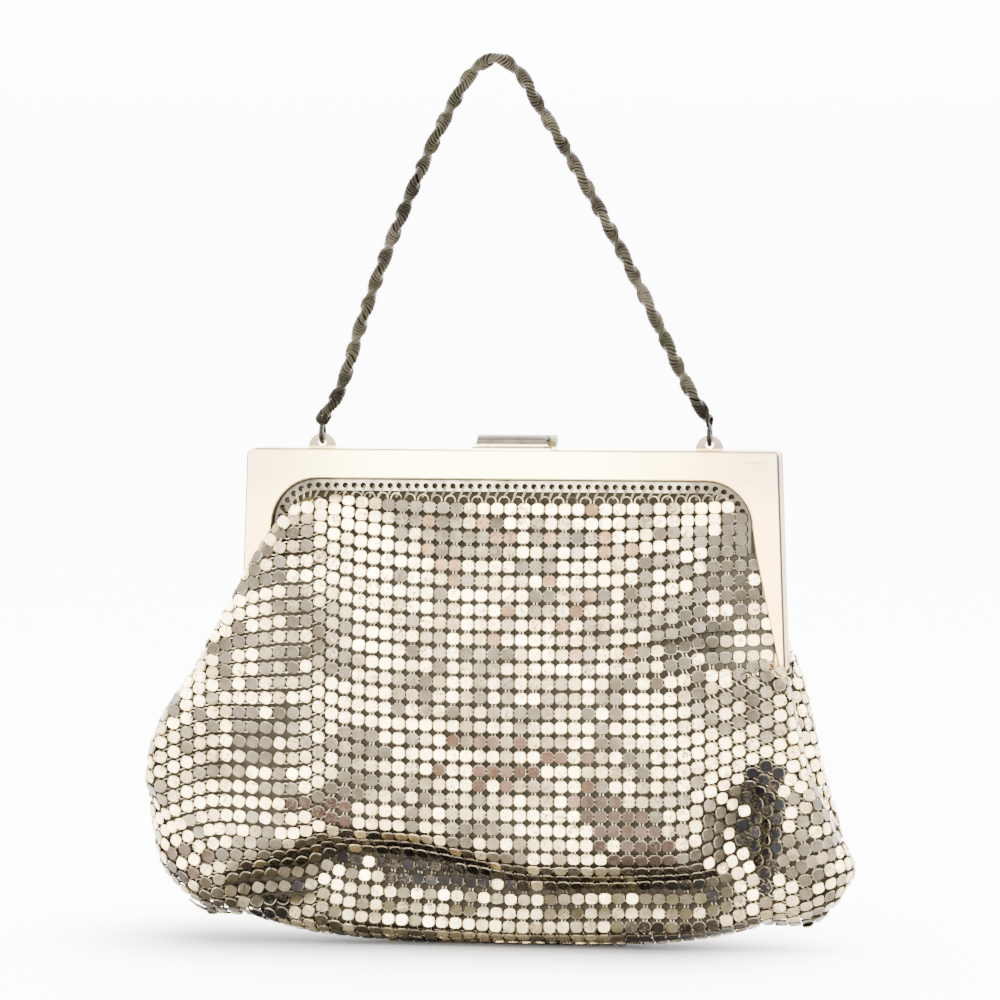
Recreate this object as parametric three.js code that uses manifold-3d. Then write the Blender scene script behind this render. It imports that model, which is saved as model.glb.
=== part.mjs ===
// Metal mesh purse on a square-shouldered frame, held up by the top of its rope chain.
// Millimetres, +Z up, the front faces -Y. The purse is drawn in its own space, whose origin is the
// middle of the frame's top edge, and is then hung so that the world's origin is the chain's top.

import * as THREE from "three";
import { mergeVertices } from "three/addons/utils/BufferGeometryUtils.js";
import Module from "manifold-3d";

const wasm = await Module();
wasm.setup();

// Clearance between pieces that touch on the real purse
const GAP = 0.3;

// Frame halves
const FRAME_TOP_WIDTH = 104.6;
const FRAME_FOOT_WIDTH = 107.6;
const FRAME_DROP = 42.8;
const FRAME_HALF_DEPTH = 6.0;
const FRAME_CORNER = 1.2;
const FRAME_EDGE_BEVEL = 0.25;
const PLATE_WALL = 1.0;
const RIM_WALL = 0.9;
const TOP_BAR = 5.6;
const ARM_WIDTH = 4.9;
const ARM_TIP_WIDTH = 1.0;
const INNER_CORNER = 9.0;
const SHOULDER_DROP = 19.6;

// Pierced rails that carry the mesh
const RAIL_WALL = 0.6;
const RAIL_SHOWN = 2.45;
const RAIL_HIDDEN = 0.9;
const RAIL_HOLE = 0.9;
const RAIL_HOLE_PITCH = 1.78;
const RAIL_HOLE_INSET = 1.45;
const RAIL_HOLE_SIDES = 4;
const RAIL_BARE_END = 1.5;

// Hinges at the feet of the arms
const HINGE_RISE = 1.8;
const TAB_WALL = 0.8;
const TAB_RADIUS = 1.8;
const RIVET_RADIUS = 0.55;
const RIVET_HEAD_RADIUS = 1.1;
const RIVET_HEAD = 0.5;

// Clasp lever, its hinge and its catch
const CLASP_BASE_WIDTH = 15.8;
const CLASP_TOP_WIDTH = 13.6;
const CLASP_TOP = 2.8;
const CLASP_FRONT = 5.0;
const CLASP_WALL = 0.8;
const CLASP_CORNER = 1.1;
const CATCH_HEIGHT = 0.6;
const CATCH_DEPTH = 3.2;
const CATCH_LIP = 0.2;
const BARREL_RADIUS = 1.2;
const BARREL_SETBACK = 4.2;
const PIN_RADIUS = 0.4;
const KNUCKLE_LENGTH = 2.6;

// Lugs for the chain
const LUG_SPACING = 76.8;
const LUG_WIDTH = 5.5;
const LUG_HEIGHT = 3.0;
const LUG_WALL = 0.8;
const LUG_SETBACK = 0.3;
const LUG_HOLE_RADIUS = 0.85;
const LUG_HOLE_RISE = 1.15;
const LUG_HOLE_SIDES = 12;

// Chain and its end rings
const RING_RADIUS = 1.8;
const RING_WIRE = 0.95;
const RING_SIDES = 6;
const RING_STEPS = 14;
const CHAIN_DIAMETER = 2.5;
const CHAIN_STEPS = 50;
const CHAIN_SIDES = 8;
const CHAIN_RISE = 76.6;
const CHAIN_LEAN = -3.4;

// The chain's route from the left end ring to the right one, chosen by hand. along is a share of the
// way from a lug to the chain's top, sideways, and up is a share of the chain's rise.
const CHAIN_ROUTE = [
  { side: -1, along: 0.0, up: 0.075 },
  { side: -1, along: 0.1, up: 0.15 },
  { side: -1, along: 0.215, up: 0.31 },
  { side: -1, along: 0.345, up: 0.475 },
  { side: -1, along: 0.475, up: 0.62 },
  { side: -1, along: 0.615, up: 0.765 },
  { side: -1, along: 0.755, up: 0.89 },
  { side: -1, along: 0.875, up: 0.972 },
  { side: 0, along: 1.0, up: 1.0 },
  { side: 1, along: 0.9, up: 0.965 },
  { side: 1, along: 0.81, up: 0.885 },
  { side: 1, along: 0.665, up: 0.755 },
  { side: 1, along: 0.51, up: 0.605 },
  { side: 1, along: 0.36, up: 0.45 },
  { side: 1, along: 0.215, up: 0.29 },
  { side: 1, along: 0.085, up: 0.145 },
  { side: 1, along: 0.0, up: 0.075 },
];

// Mesh bag
const BAG_LEFT_REACH = 73.3;
const BAG_RIGHT_REACH = 67.2;
const BAG_DROP = 97.3;
const BAG_FRONT_DEPTH = 13.2;
const BAG_BACK_DEPTH = 13.2;
const MESH_WALL = 1.0;
const MOUTH_GAP = 0.85;
const BAG_CORNER_RISE = 4.6;
const BAG_CORNER_POWER = 4;
const FOLD_REACH = 1.2;
const BELOW_RAIL = 0.5;
const BELOW_ARMS = 3.0;
const BELOW_SHOULDER = 12.0;
const MESH_FRONT_COUNT = 17;
const MESH_BACK_COUNT = 7;

// How far in the side of the bag starts to turn towards its faces, near the mouth and low down, and
// the shares of the height where it goes over from the one to the other
const MOUTH_SIDE_REACH = 1.6;
const SIDE_REACH = 11.0;
const SIDE_FROM = 0.35;
const SIDE_TO = 0.7;

// The share of the height, at the bottom, over which the front's folds die out
const FOLD_END = 0.1;

// How squarely the folds stop at the sides of the front
const FOLD_EDGE_POWER = 6;

// How near the bag's middle plane a fold may come, the least room it is given, and how sharply it
// is stopped
const FOLD_FLOOR = 3.0;
const FOLD_LEAST_ROOM = 0.2;
const FOLD_ROOM_POWER = 4;

// Lining
const LINING_WALL = 1.0;
const LINING_GAP = 0.5;
const LINING_SLACK = 0.3;
const LINING_BOTTOM_GAP = 1.5;
const LINING_TUCK_IN = 6.2;
const LINING_FRONT_COUNT = 9;
const LINING_BACK_COUNT = 5;
const LINING_ANGLES = [24, 50, 76];

// How near the lining looks for narrow places and folds, as a share of the height and as a length,
// and the share of the height over which it comes out from behind the rail
const LINING_CAUTION = 0.09;
const LINING_FACET = 4.5;
const LINING_RELEASE = 0.12;

// Outline of the bag from the mouth down. at: share of the height of the bag's sides. The four lobe
// columns (left and right, front and back) are shares of the way from the mouth's side out to the
// widest reach.
const OUTLINE = [
  { at: 0.0, lf: 0.0, lb: 0.0, rf: 0.0, rb: 0.0 },
  { at: 0.03, lf: 0.06, lb: 0.05, rf: 0.0, rb: 0.03 },
  { at: 0.1, lf: 0.2, lb: 0.14, rf: 0.0, rb: 0.12 },
  { at: 0.2, lf: 0.35, lb: 0.28, rf: 0.0, rb: 0.25 },
  { at: 0.3, lf: 0.5, lb: 0.42, rf: 0.0, rb: 0.36 },
  { at: 0.36, lf: 0.58, lb: 0.52, rf: 0.28, rb: 0.46 },
  { at: 0.42, lf: 0.69, lb: 0.64, rf: 0.47, rb: 0.54 },
  { at: 0.5, lf: 0.85, lb: 0.8, rf: 0.53, rb: 0.61 },
  { at: 0.6, lf: 0.97, lb: 0.93, rf: 0.62, rb: 0.7 },
  { at: 0.7, lf: 1.0, lb: 0.98, rf: 0.76, rb: 0.8 },
  { at: 0.8, lf: 0.97, lb: 0.97, rf: 0.92, rb: 0.92 },
  { at: 0.86, lf: 0.94, lb: 0.94, rf: 1.0, rb: 1.0 },
  { at: 0.93, lf: 0.83, lb: 0.83, rf: 0.9, rb: 0.9 },
  { at: 0.965, lf: 0.745, lb: 0.745, rf: 0.8, rb: 0.8 },
  { at: 0.987, lf: 0.675, lb: 0.675, rf: 0.71, rb: 0.71 },
  { at: 1.0, lf: 0.62, lb: 0.62, rf: 0.64, rb: 0.64 },
];

// The gussets, folded in between the front and the back. The tuck columns are shares of the way from
// the hinge out to the lobes. The fold columns say how far each side is folded in, 1 fully and 0 not
// at all. gap is the half width of that fold as a share of the frame half's depth.
const GUSSETS = [
  { at: 0.0, tuckL: 0.0, tuckR: 0.0, foldL: 0.0, foldRF: 0.0, foldRB: 0.0, gap: 1.1 },
  { at: 0.03, tuckL: 0.0, tuckR: 0.0, foldL: 1.0, foldRF: 0.0, foldRB: 1.0, gap: 1.1 },
  { at: 0.3, tuckL: 0.0, tuckR: 0.0, foldL: 1.0, foldRF: 0.0, foldRB: 1.0, gap: 1.1 },
  { at: 0.36, tuckL: 0.0, tuckR: 0.0, foldL: 1.0, foldRF: 1.0, foldRB: 1.0, gap: 1.1 },
  { at: 0.42, tuckL: 0.06, tuckR: 0.06, foldL: 1.0, foldRF: 1.0, foldRB: 1.0, gap: 0.7 },
  { at: 0.5, tuckL: 0.3, tuckR: 0.3, foldL: 1.0, foldRF: 1.0, foldRB: 1.0, gap: 0.4 },
  { at: 0.6, tuckL: 0.6, tuckR: 0.5, foldL: 0.8, foldRF: 0.95, foldRB: 0.95, gap: 0.3 },
  { at: 0.7, tuckL: 0.8, tuckR: 0.65, foldL: 0.4, foldRF: 0.8, foldRB: 0.8, gap: 0.28 },
  { at: 0.8, tuckL: 0.9, tuckR: 0.8, foldL: 0.0, foldRF: 0.4, foldRB: 0.4, gap: 0.28 },
  { at: 0.86, tuckL: 0.95, tuckR: 0.9, foldL: 0.0, foldRF: 0.0, foldRB: 0.0, gap: 0.28 },
  { at: 1.0, tuckL: 0.95, tuckR: 0.95, foldL: 0.0, foldRF: 0.0, foldRB: 0.0, gap: 0.28 },
];

// Depths as shares of the bag's front or back depth, at the left side, the middle and the right side.
// crown is how fast the side depths give way to the middle one.
const DEPTHS = [
  { at: 0.0, fl: 0.38, fm: 0.4, fr: 0.38, bl: 0.38, bm: 0.4, br: 0.38, crown: 7.0 },
  { at: 0.03, fl: 0.71, fm: 0.43, fr: 0.4, bl: 0.71, bm: 0.43, br: 0.71, crown: 7.0 },
  { at: 0.1, fl: 0.74, fm: 0.55, fr: 0.42, bl: 0.74, bm: 0.55, br: 0.74, crown: 6.0 },
  { at: 0.2, fl: 0.76, fm: 0.68, fr: 0.44, bl: 0.75, bm: 0.68, br: 0.75, crown: 5.0 },
  { at: 0.3, fl: 0.78, fm: 0.78, fr: 0.48, bl: 0.77, bm: 0.78, br: 0.76, crown: 4.0 },
  { at: 0.36, fl: 0.79, fm: 0.84, fr: 0.72, bl: 0.78, bm: 0.84, br: 0.77, crown: 3.6 },
  { at: 0.42, fl: 0.8, fm: 0.89, fr: 0.72, bl: 0.8, bm: 0.89, br: 0.76, crown: 3.2 },
  { at: 0.5, fl: 0.76, fm: 0.94, fr: 0.7, bl: 0.77, bm: 0.94, br: 0.72, crown: 3.0 },
  { at: 0.6, fl: 0.72, fm: 0.98, fr: 0.68, bl: 0.74, bm: 0.98, br: 0.7, crown: 2.8 },
  { at: 0.7, fl: 0.7, fm: 1.0, fr: 0.68, bl: 0.72, bm: 1.0, br: 0.7, crown: 2.6 },
  { at: 0.86, fl: 0.7, fm: 1.0, fr: 0.7, bl: 0.7, bm: 1.0, br: 0.7, crown: 2.4 },
  { at: 0.93, fl: 0.65, fm: 0.92, fr: 0.65, bl: 0.65, bm: 0.92, br: 0.65, crown: 2.4 },
  { at: 0.965, fl: 0.52, fm: 0.74, fr: 0.52, bl: 0.52, bm: 0.74, br: 0.52, crown: 2.4 },
  { at: 0.987, fl: 0.34, fm: 0.48, fr: 0.34, bl: 0.34, bm: 0.48, br: 0.34, crown: 2.4 },
  { at: 1.0, fl: 0.12, fm: 0.17, fr: 0.12, bl: 0.12, bm: 0.17, br: 0.12, crown: 2.4 },
];

// Half of a folded side, from the gusset's middle to the face. out is a share of the way from the
// fold out to the lobe's edge, less a share of FOLD_REACH taken off it, and gap and depth are the
// shares of the fold's half width and of the lobe's depth that make the distance from the middle.
const FOLD_SECTION = [
  { out: 0.0, less: 0.0, gap: 0.86, depth: 0.0 },
  { out: 0.1, less: 0.0, gap: 1.0, depth: 0.0 },
  { out: 0.7, less: 0.1, gap: 1.0, depth: 0.0 },
  { out: 1.0, less: 0.0, gap: 0.5, depth: 0.5 },
  { out: 1.0, less: 1.0, gap: 0.0, depth: 1.0 },
];

// Where the same points lie on a side that isn't folded, in degrees round from the gusset's middle
const CORNER_ANGLES = [14, 30, 47, 64, 82];

// Folds of the front. Each follows a line through its points: shares of the reach and of the drop,
// how far it goes out as a share of the bag's depth, and how wide it is above and below, or left and
// right, as shares of the drop.
const FRONT_FOLDS = [
  { name: "crease over the bottom roll", points: [
    [-0.83, 0.945, -0.42, 0.05, 0.05], [-0.68, 0.885, -0.55, 0.05, 0.055],
    [-0.49, 0.835, -0.64, 0.045, 0.1], [-0.288, 0.832, -0.66, 0.045, 0.12],
    [-0.127, 0.858, -0.6, 0.04, 0.12], [0.039, 0.883, -0.46, 0.034, 0.1],
    [0.274, 0.89, -0.42, 0.034, 0.1], [0.568, 0.872, -0.42, 0.036, 0.1],
    [0.804, 0.835, -0.3, 0.04, 0.06]] },
  { name: "upright valley, right", points: [
    [0.72, 0.63, -0.12, 0.045, 0.045], [0.7, 0.706, -0.55, 0.055, 0.055],
    [0.69, 0.822, -0.5, 0.055, 0.055]] },
  { name: "bulge right of the middle", points: [
    [0.2, 0.77, 0.14, 0.07, 0.06], [0.5, 0.79, 0.16, 0.07, 0.06]] },
  { name: "swell, lower left", points: [
    [-0.75, 0.82, 0.12, 0.05, 0.05], [-0.6, 0.8, 0.12, 0.05, 0.05]] },
  { name: "ripple, upper right", points: [
    [0.5, 0.2, -0.07, 0.06, 0.06], [-0.2, 0.6, -0.07, 0.06, 0.06]] },
  { name: "ripple, upper left", points: [
    [-0.56, 0.25, -0.08, 0.05, 0.05], [-0.6, 0.62, -0.08, 0.05, 0.05]] },
];

// Heights of the bag's rings, as shares of its height, and of the lining's
const BAG_LEVELS = [0, 0.02, 0.05, 0.1, 0.115, 0.16, 0.23, 0.3, 0.335, 0.36, 0.385, 0.42, 0.46, 0.51,
  0.57, 0.63, 0.69, 0.74, 0.78, 0.82, 0.86, 0.9, 0.935, 0.965, 0.987, 1];
const LINING_LEVELS = [0, 0.12, 0.24, 0.35, 0.45, 0.56, 0.67, 0.76, 0.84, 0.91, 0.96, 1];

const COLOURS = {
  frame: new THREE.MeshStandardMaterial({ color: 0xd9d0c4, roughness: 0.32, metalness: 1.0 }),
  rail: new THREE.MeshStandardMaterial({ color: 0xb9b0a0, roughness: 0.4, metalness: 1.0 }),
  clasp: new THREE.MeshStandardMaterial({ color: 0xcfc8bb, roughness: 0.3, metalness: 1.0 }),
  chain: new THREE.MeshStandardMaterial({ color: 0x5c5140, roughness: 0.45, metalness: 0.9 }),
  mesh: new THREE.MeshStandardMaterial({ color: 0xc9c4b2, roughness: 0.35, metalness: 1.0 }),
  lining: new THREE.MeshStandardMaterial({ color: 0x6b5f41, roughness: 0.85, metalness: 0.0 }),
};

// Solids and meshes

function toSolid(geometry) {
  const bare = geometry.index ? geometry.toNonIndexed() : geometry.clone();
  bare.deleteAttribute("normal");
  bare.deleteAttribute("uv");
  const welded = mergeVertices(bare, 1e-4);
  const mesh = new wasm.Mesh({
    numProp: 3,
    vertProperties: new Float32Array(welded.attributes.position.array),
    triVerts: new Uint32Array(welded.index.array),
  });
  return new wasm.Manifold(mesh);
}

function toGeometry(solid) {
  const { numProp, vertProperties, triVerts } = solid.getMesh();
  const points = [];
  for (let i = 0; i < vertProperties.length; i += numProp) {
    points.push(vertProperties[i], vertProperties[i + 1], vertProperties[i + 2]);
  }
  const geometry = new THREE.BufferGeometry();
  geometry.setAttribute("position", new THREE.Float32BufferAttribute(points, 3));
  geometry.setIndex(Array.from(triVerts));
  geometry.computeVertexNormals();
  return geometry;
}

function named(name, geometry, material) {
  const mesh = new THREE.Mesh(geometry, material);
  mesh.name = name;
  return mesh;
}

function block(x0, x1, y0, y1, z0, z1) {
  const box = new THREE.BoxGeometry(x1 - x0, y1 - y0, z1 - z0);
  box.translate((x0 + x1) / 2, (y0 + y1) / 2, (z0 + z1) / 2);
  return toSolid(box);
}

// A round bar along X
function barAlongX(x0, x1, y, z, radius, sides) {
  const bar = new THREE.CylinderGeometry(radius, radius, x1 - x0, sides);
  bar.rotateZ(Math.PI / 2);
  bar.translate((x0 + x1) / 2, y, z);
  return toSolid(bar);
}

// An outline in X and Z, made thick along Y from yFrom towards the back
function slab(outline, yFrom, thickness, bevel = 0, curveSegments = 5) {
  const body = new THREE.ExtrudeGeometry(outline, {
    depth: thickness - 2 * bevel,
    steps: 1,
    curveSegments,
    bevelEnabled: bevel > 0,
    bevelThickness: bevel,
    bevelSize: bevel,
    bevelOffset: -bevel,
    bevelSegments: 1,
  });
  body.rotateX(Math.PI / 2);
  body.translate(0, yFrom + thickness - bevel, 0);
  return body;
}

function polygon(points) {
  return new THREE.Shape(points.map(([x, z]) => new THREE.Vector2(x, z)));
}

// Turns a piece of the front half into its twin of the back half
function toBack(geometry) {
  const turned = geometry.clone();
  turned.rotateZ(Math.PI);
  return turned;
}

// Frame

const topHalf = FRAME_TOP_WIDTH / 2;
const footHalf = FRAME_FOOT_WIDTH / 2;
const innerTopHalf = topHalf - ARM_WIDTH - INNER_CORNER;
const cornerDrop = TOP_BAR + INNER_CORNER;
const hingeZ = -(FRAME_DROP - HINGE_RISE);

function outerHalfAt(z) {
  return topHalf + (footHalf - topHalf) * (-z / FRAME_DROP);
}

// Half of the clear width inside the frame's plate at a height below the rounded corners
function innerHalfAt(z) {
  const shoulder = outerHalfAt(-SHOULDER_DROP) - ARM_WIDTH;
  if (z > -SHOULDER_DROP) {
    return innerTopHalf + INNER_CORNER + (shoulder - innerTopHalf - INNER_CORNER) *
      Math.max(0, (-z - cornerDrop) / (SHOULDER_DROP - cornerDrop));
  }
  const taper = Math.min(1, (-z - SHOULDER_DROP) / (FRAME_DROP - SHOULDER_DROP));
  return shoulder + (footHalf - ARM_TIP_WIDTH - shoulder) * taper;
}

function frameOutline() {
  const outline = new THREE.Shape();
  const tip = innerHalfAt(-FRAME_DROP);
  const shoulder = innerHalfAt(-SHOULDER_DROP);
  const inner = innerTopHalf + INNER_CORNER;
  outline.moveTo(-footHalf, -FRAME_DROP);
  outline.lineTo(-outerHalfAt(-FRAME_CORNER), -FRAME_CORNER);
  outline.quadraticCurveTo(-topHalf, 0, -topHalf + FRAME_CORNER, 0);
  outline.lineTo(topHalf - FRAME_CORNER, 0);
  outline.quadraticCurveTo(topHalf, 0, outerHalfAt(-FRAME_CORNER), -FRAME_CORNER);
  outline.lineTo(footHalf, -FRAME_DROP);
  outline.lineTo(tip, -FRAME_DROP);
  outline.lineTo(shoulder, -SHOULDER_DROP);
  outline.lineTo(inner, -cornerDrop);
  outline.absarc(innerTopHalf, -cornerDrop, INNER_CORNER, 0, Math.PI / 2, false);
  outline.lineTo(-innerTopHalf, -TOP_BAR);
  outline.absarc(-innerTopHalf, -cornerDrop, INNER_CORNER, Math.PI / 2, Math.PI, false);
  outline.lineTo(-shoulder, -SHOULDER_DROP);
  outline.lineTo(-tip, -FRAME_DROP);
  outline.closePath();
  return outline;
}

// What is hollowed out behind the plate, leaving the rim along the outer edge
function frameHollow() {
  const below = FRAME_DROP + 1;
  return polygon([
    [-outerHalfAt(-below) + RIM_WALL, -below],
    [-topHalf + RIM_WALL, -RIM_WALL],
    [topHalf - RIM_WALL, -RIM_WALL],
    [outerHalfAt(-below) - RIM_WALL, -below],
  ]);
}

function frameShell() {
  const depth = FRAME_HALF_DEPTH - GAP / 2;
  const whole = toSolid(slab(frameOutline(), -FRAME_HALF_DEPTH, depth, FRAME_EDGE_BEVEL));
  const hollowFrom = -FRAME_HALF_DEPTH + PLATE_WALL;
  return whole.subtract(toSolid(slab(frameHollow(), hollowFrom, FRAME_HALF_DEPTH)));
}

// One hinge tab of the front half at the right foot. inset is its distance from the rim's inner face.
function hingeTab(inset, reach) {
  const rimInside = outerHalfAt(hingeZ) - RIM_WALL;
  const x1 = rimInside - inset;
  const x0 = x1 - TAB_WALL;
  const tabTop = hingeZ + TAB_RADIUS;
  const tabFoot = hingeZ - TAB_RADIUS;
  const round = barAlongX(x0, x1, 0, hingeZ, TAB_RADIUS, 10);
  const plateInside = -FRAME_HALF_DEPTH + PLATE_WALL;
  const arm = block(x0, x1, plateInside, 0, tabFoot, tabTop);
  const bridge = block(x0, rimInside + RIM_WALL / 2, plateInside, -reach, tabFoot, tabTop);
  const hole = barAlongX(x0 - 1, x1 + 1, 0, hingeZ, RIVET_RADIUS + GAP, 10);
  return round.add(arm).subtract(hole).add(bridge);
}

const outerTabInset = GAP;
const innerTabInset = outerTabInset + TAB_WALL + GAP;

function mirrored(solid) {
  return solid.mirror([1, 0, 0]);
}

function catchStrip() {
  const half = CLASP_BASE_WIDTH / 2;
  const front = -CLASP_FRONT - CATCH_LIP;
  return block(-half, half, front, front + CATCH_DEPTH, -RIM_WALL / 2, CATCH_HEIGHT);
}

function frontFrame() {
  const tabRight = hingeTab(outerTabInset, RIVET_RADIUS + 2 * GAP);
  const tabLeft = mirrored(hingeTab(innerTabInset, TAB_RADIUS + GAP));
  return toGeometry(frameShell().add(tabRight).add(tabLeft).add(catchStrip()));
}

function lug(side) {
  const outline = new THREE.Shape();
  const half = LUG_WIDTH / 2;
  const x = side * LUG_SPACING / 2;
  outline.moveTo(x - half, -RIM_WALL / 2);
  outline.absellipse(x, 0, half, LUG_HEIGHT, Math.PI, 0, true, 0);
  outline.lineTo(x + half, -RIM_WALL / 2);
  outline.closePath();
  const hole = new THREE.Path();
  const corners = Array.from({ length: LUG_HOLE_SIDES }, (_, i) => (i / LUG_HOLE_SIDES) * Math.PI * 2);
  hole.setFromPoints(corners.map((angle) => new THREE.Vector2(
    x + LUG_HOLE_RADIUS * Math.cos(angle), LUG_HOLE_RISE + LUG_HOLE_RADIUS * Math.sin(angle))));
  outline.holes.push(hole);
  return toSolid(slab(outline, LUG_SETBACK, LUG_WALL, 0, 6));
}

const barrelZ = BARREL_RADIUS + GAP;

function knuckle(side) {
  const outer = side * CLASP_BASE_WIDTH / 2;
  const inner = side * (CLASP_BASE_WIDTH / 2 - KNUCKLE_LENGTH);
  const x0 = Math.min(outer, inner);
  const x1 = Math.max(outer, inner);
  const round = barAlongX(x0, x1, BARREL_SETBACK, barrelZ, BARREL_RADIUS, 12);
  const y0 = BARREL_SETBACK - BARREL_RADIUS;
  const foot = block(x0, x1, y0, BARREL_SETBACK + BARREL_RADIUS, -RIM_WALL / 2, barrelZ);
  const hole = barAlongX(x0 - 1, x1 + 1, BARREL_SETBACK, barrelZ, PIN_RADIUS + GAP, 10);
  return round.add(foot).subtract(hole);
}

function backFrame() {
  const half = toSolid(toBack(frontHalfBare));
  return toGeometry(half.add(lug(-1)).add(lug(1)).add(knuckle(-1)).add(knuckle(1)));
}

// A back half before its lugs and knuckles, drawn as a front one and turned round
const frontHalfBare = toGeometry(frameShell()
  .add(hingeTab(outerTabInset, RIVET_RADIUS + 2 * GAP))
  .add(mirrored(hingeTab(innerTabInset, TAB_RADIUS + GAP))));

function hingeRivet(side) {
  const rimInside = outerHalfAt(hingeZ) - RIM_WALL;
  const outer = rimInside - GAP;
  const inner = rimInside - innerTabInset - TAB_WALL - GAP;
  const shaft = barAlongX(inner, outer, 0, hingeZ, RIVET_RADIUS, 10);
  const head = barAlongX(inner - RIVET_HEAD, inner, 0, hingeZ, RIVET_HEAD_RADIUS, 10);
  const rivet = shaft.add(head);
  return toGeometry(side > 0 ? rivet : mirrored(rivet));
}

// Rails

// The line that lies a given distance inside the edge of the plate's opening
function openingLine(inset, arcSteps) {
  const radius = INNER_CORNER - inset;
  const foot = -SHOULDER_DROP;
  const points = [[innerTopHalf + radius, foot]];
  for (let i = 0; i <= arcSteps; i += 1) {
    const angle = (Math.PI / 2) * (i / arcSteps);
    points.push([innerTopHalf + radius * Math.cos(angle), -cornerDrop + radius * Math.sin(angle)]);
  }
  const mirroredSide = points.map(([x, z]) => [-x, z]).reverse();
  return points.concat(mirroredSide);
}

// Points a pitch apart along a line, leaving at least bare pitches free at either end
function spacedAlong(points, pitch, bare) {
  const lengths = [0];
  for (let i = 1; i < points.length; i += 1) {
    const [x0, z0] = points[i - 1];
    const [x1, z1] = points[i];
    lengths.push(lengths[i - 1] + Math.hypot(x1 - x0, z1 - z0));
  }
  const total = lengths[lengths.length - 1];
  const count = Math.floor(total / pitch - 2 * bare);
  const start = (total - count * pitch) / 2;
  const found = [];
  for (let k = 0; k <= count; k += 1) {
    const s = start + k * pitch;
    const i = Math.max(1, lengths.findIndex((length) => length >= s));
    const share = (s - lengths[i - 1]) / (lengths[i] - lengths[i - 1]);
    const [x0, z0] = points[i - 1];
    const [x1, z1] = points[i];
    found.push([x0 + (x1 - x0) * share, z0 + (z1 - z0) * share]);
  }
  return found;
}

function frontRail() {
  const outer = openingLine(-RAIL_HIDDEN, 6);
  const inner = openingLine(RAIL_SHOWN, 6);
  const outline = polygon(outer.concat(inner.reverse()));
  for (const [x, z] of spacedAlong(openingLine(RAIL_HOLE_INSET, 24), RAIL_HOLE_PITCH, RAIL_BARE_END)) {
    const hole = new THREE.Path();
    for (let i = 0; i < RAIL_HOLE_SIDES; i += 1) {
      const angle = Math.PI / 2 - (i / RAIL_HOLE_SIDES) * Math.PI * 2;
      const holeX = x + RAIL_HOLE / 2 * Math.cos(angle);
      const holeZ = z + RAIL_HOLE / 2 * Math.sin(angle);
      if (i === 0) hole.moveTo(holeX, holeZ);
      else hole.lineTo(holeX, holeZ);
    }
    hole.closePath();
    outline.holes.push(hole);
  }
  return toGeometry(toSolid(slab(outline, -railFront, RAIL_WALL)));
}

const railFront = FRAME_HALF_DEPTH - PLATE_WALL - GAP;

// Clasp

function claspLever() {
  const under = CATCH_HEIGHT + GAP;
  const inside = CLASP_TOP - CLASP_WALL;
  const side = new THREE.Shape();
  side.moveTo(-CLASP_FRONT, under);
  side.lineTo(-CLASP_FRONT, CLASP_TOP - CLASP_CORNER);
  side.quadraticCurveTo(-CLASP_FRONT, CLASP_TOP, -CLASP_FRONT + CLASP_CORNER, CLASP_TOP);
  side.lineTo(BARREL_SETBACK, barrelZ + BARREL_RADIUS);
  side.lineTo(BARREL_SETBACK, barrelZ);
  side.lineTo(BARREL_SETBACK - BARREL_RADIUS, inside);
  side.lineTo(-CLASP_FRONT + 2 * CLASP_WALL, inside);
  side.lineTo(-CLASP_FRONT + CLASP_WALL, under);
  side.closePath();
  const length = CLASP_BASE_WIDTH;
  const arch = new THREE.ExtrudeGeometry(side, {
    depth: length,
    steps: 1,
    bevelEnabled: false,
    curveSegments: 5,
  });
  // The side outline is drawn in Y and Z: its own X runs along Y, its own Y up, and its depth along X
  arch.applyMatrix4(new THREE.Matrix4().set(
    0, 0, 1, -length / 2,
    1, 0, 0, 0,
    0, 1, 0, 0,
    0, 0, 0, 1,
  ));
  const baseHalf = CLASP_BASE_WIDTH / 2;
  const topEdge = CLASP_TOP_WIDTH / 2;
  const top = CLASP_TOP + BARREL_RADIUS;
  const face = new THREE.Shape();
  face.moveTo(-baseHalf, 0);
  face.lineTo(-topEdge, CLASP_TOP - CLASP_CORNER);
  face.quadraticCurveTo(-topEdge, CLASP_TOP, -topEdge + CLASP_CORNER, CLASP_TOP);
  face.lineTo(topEdge - CLASP_CORNER, CLASP_TOP);
  face.quadraticCurveTo(topEdge, CLASP_TOP, topEdge, CLASP_TOP - CLASP_CORNER);
  face.lineTo(baseHalf, 0);
  face.closePath();
  const shaped = toSolid(arch).intersect(toSolid(slab(face, -CLASP_FRONT - 1, 3 * BARREL_SETBACK)));
  const reach = baseHalf - KNUCKLE_LENGTH - GAP;
  const clearOfKnuckles = BARREL_SETBACK - BARREL_RADIUS - GAP;
  const roomLeft = block(-baseHalf - 1, -reach, clearOfKnuckles, BARREL_SETBACK + 3, 0, top);
  const roomRight = block(reach, baseHalf + 1, clearOfKnuckles, BARREL_SETBACK + 3, 0, top);
  const barrel = barAlongX(-reach, reach, BARREL_SETBACK, barrelZ, BARREL_RADIUS, 12);
  const hole = barAlongX(-baseHalf - 1, baseHalf + 1, BARREL_SETBACK, barrelZ, PIN_RADIUS + GAP, 10);
  return toGeometry(shaped.subtract(roomLeft).subtract(roomRight).add(barrel).subtract(hole));
}

function claspPin() {
  const half = CLASP_BASE_WIDTH / 2 - GAP;
  return toGeometry(barAlongX(-half, half, BARREL_SETBACK, barrelZ, PIN_RADIUS, 10));
}

// Chain

const lugMiddle = LUG_SETBACK + LUG_WALL / 2;

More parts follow.
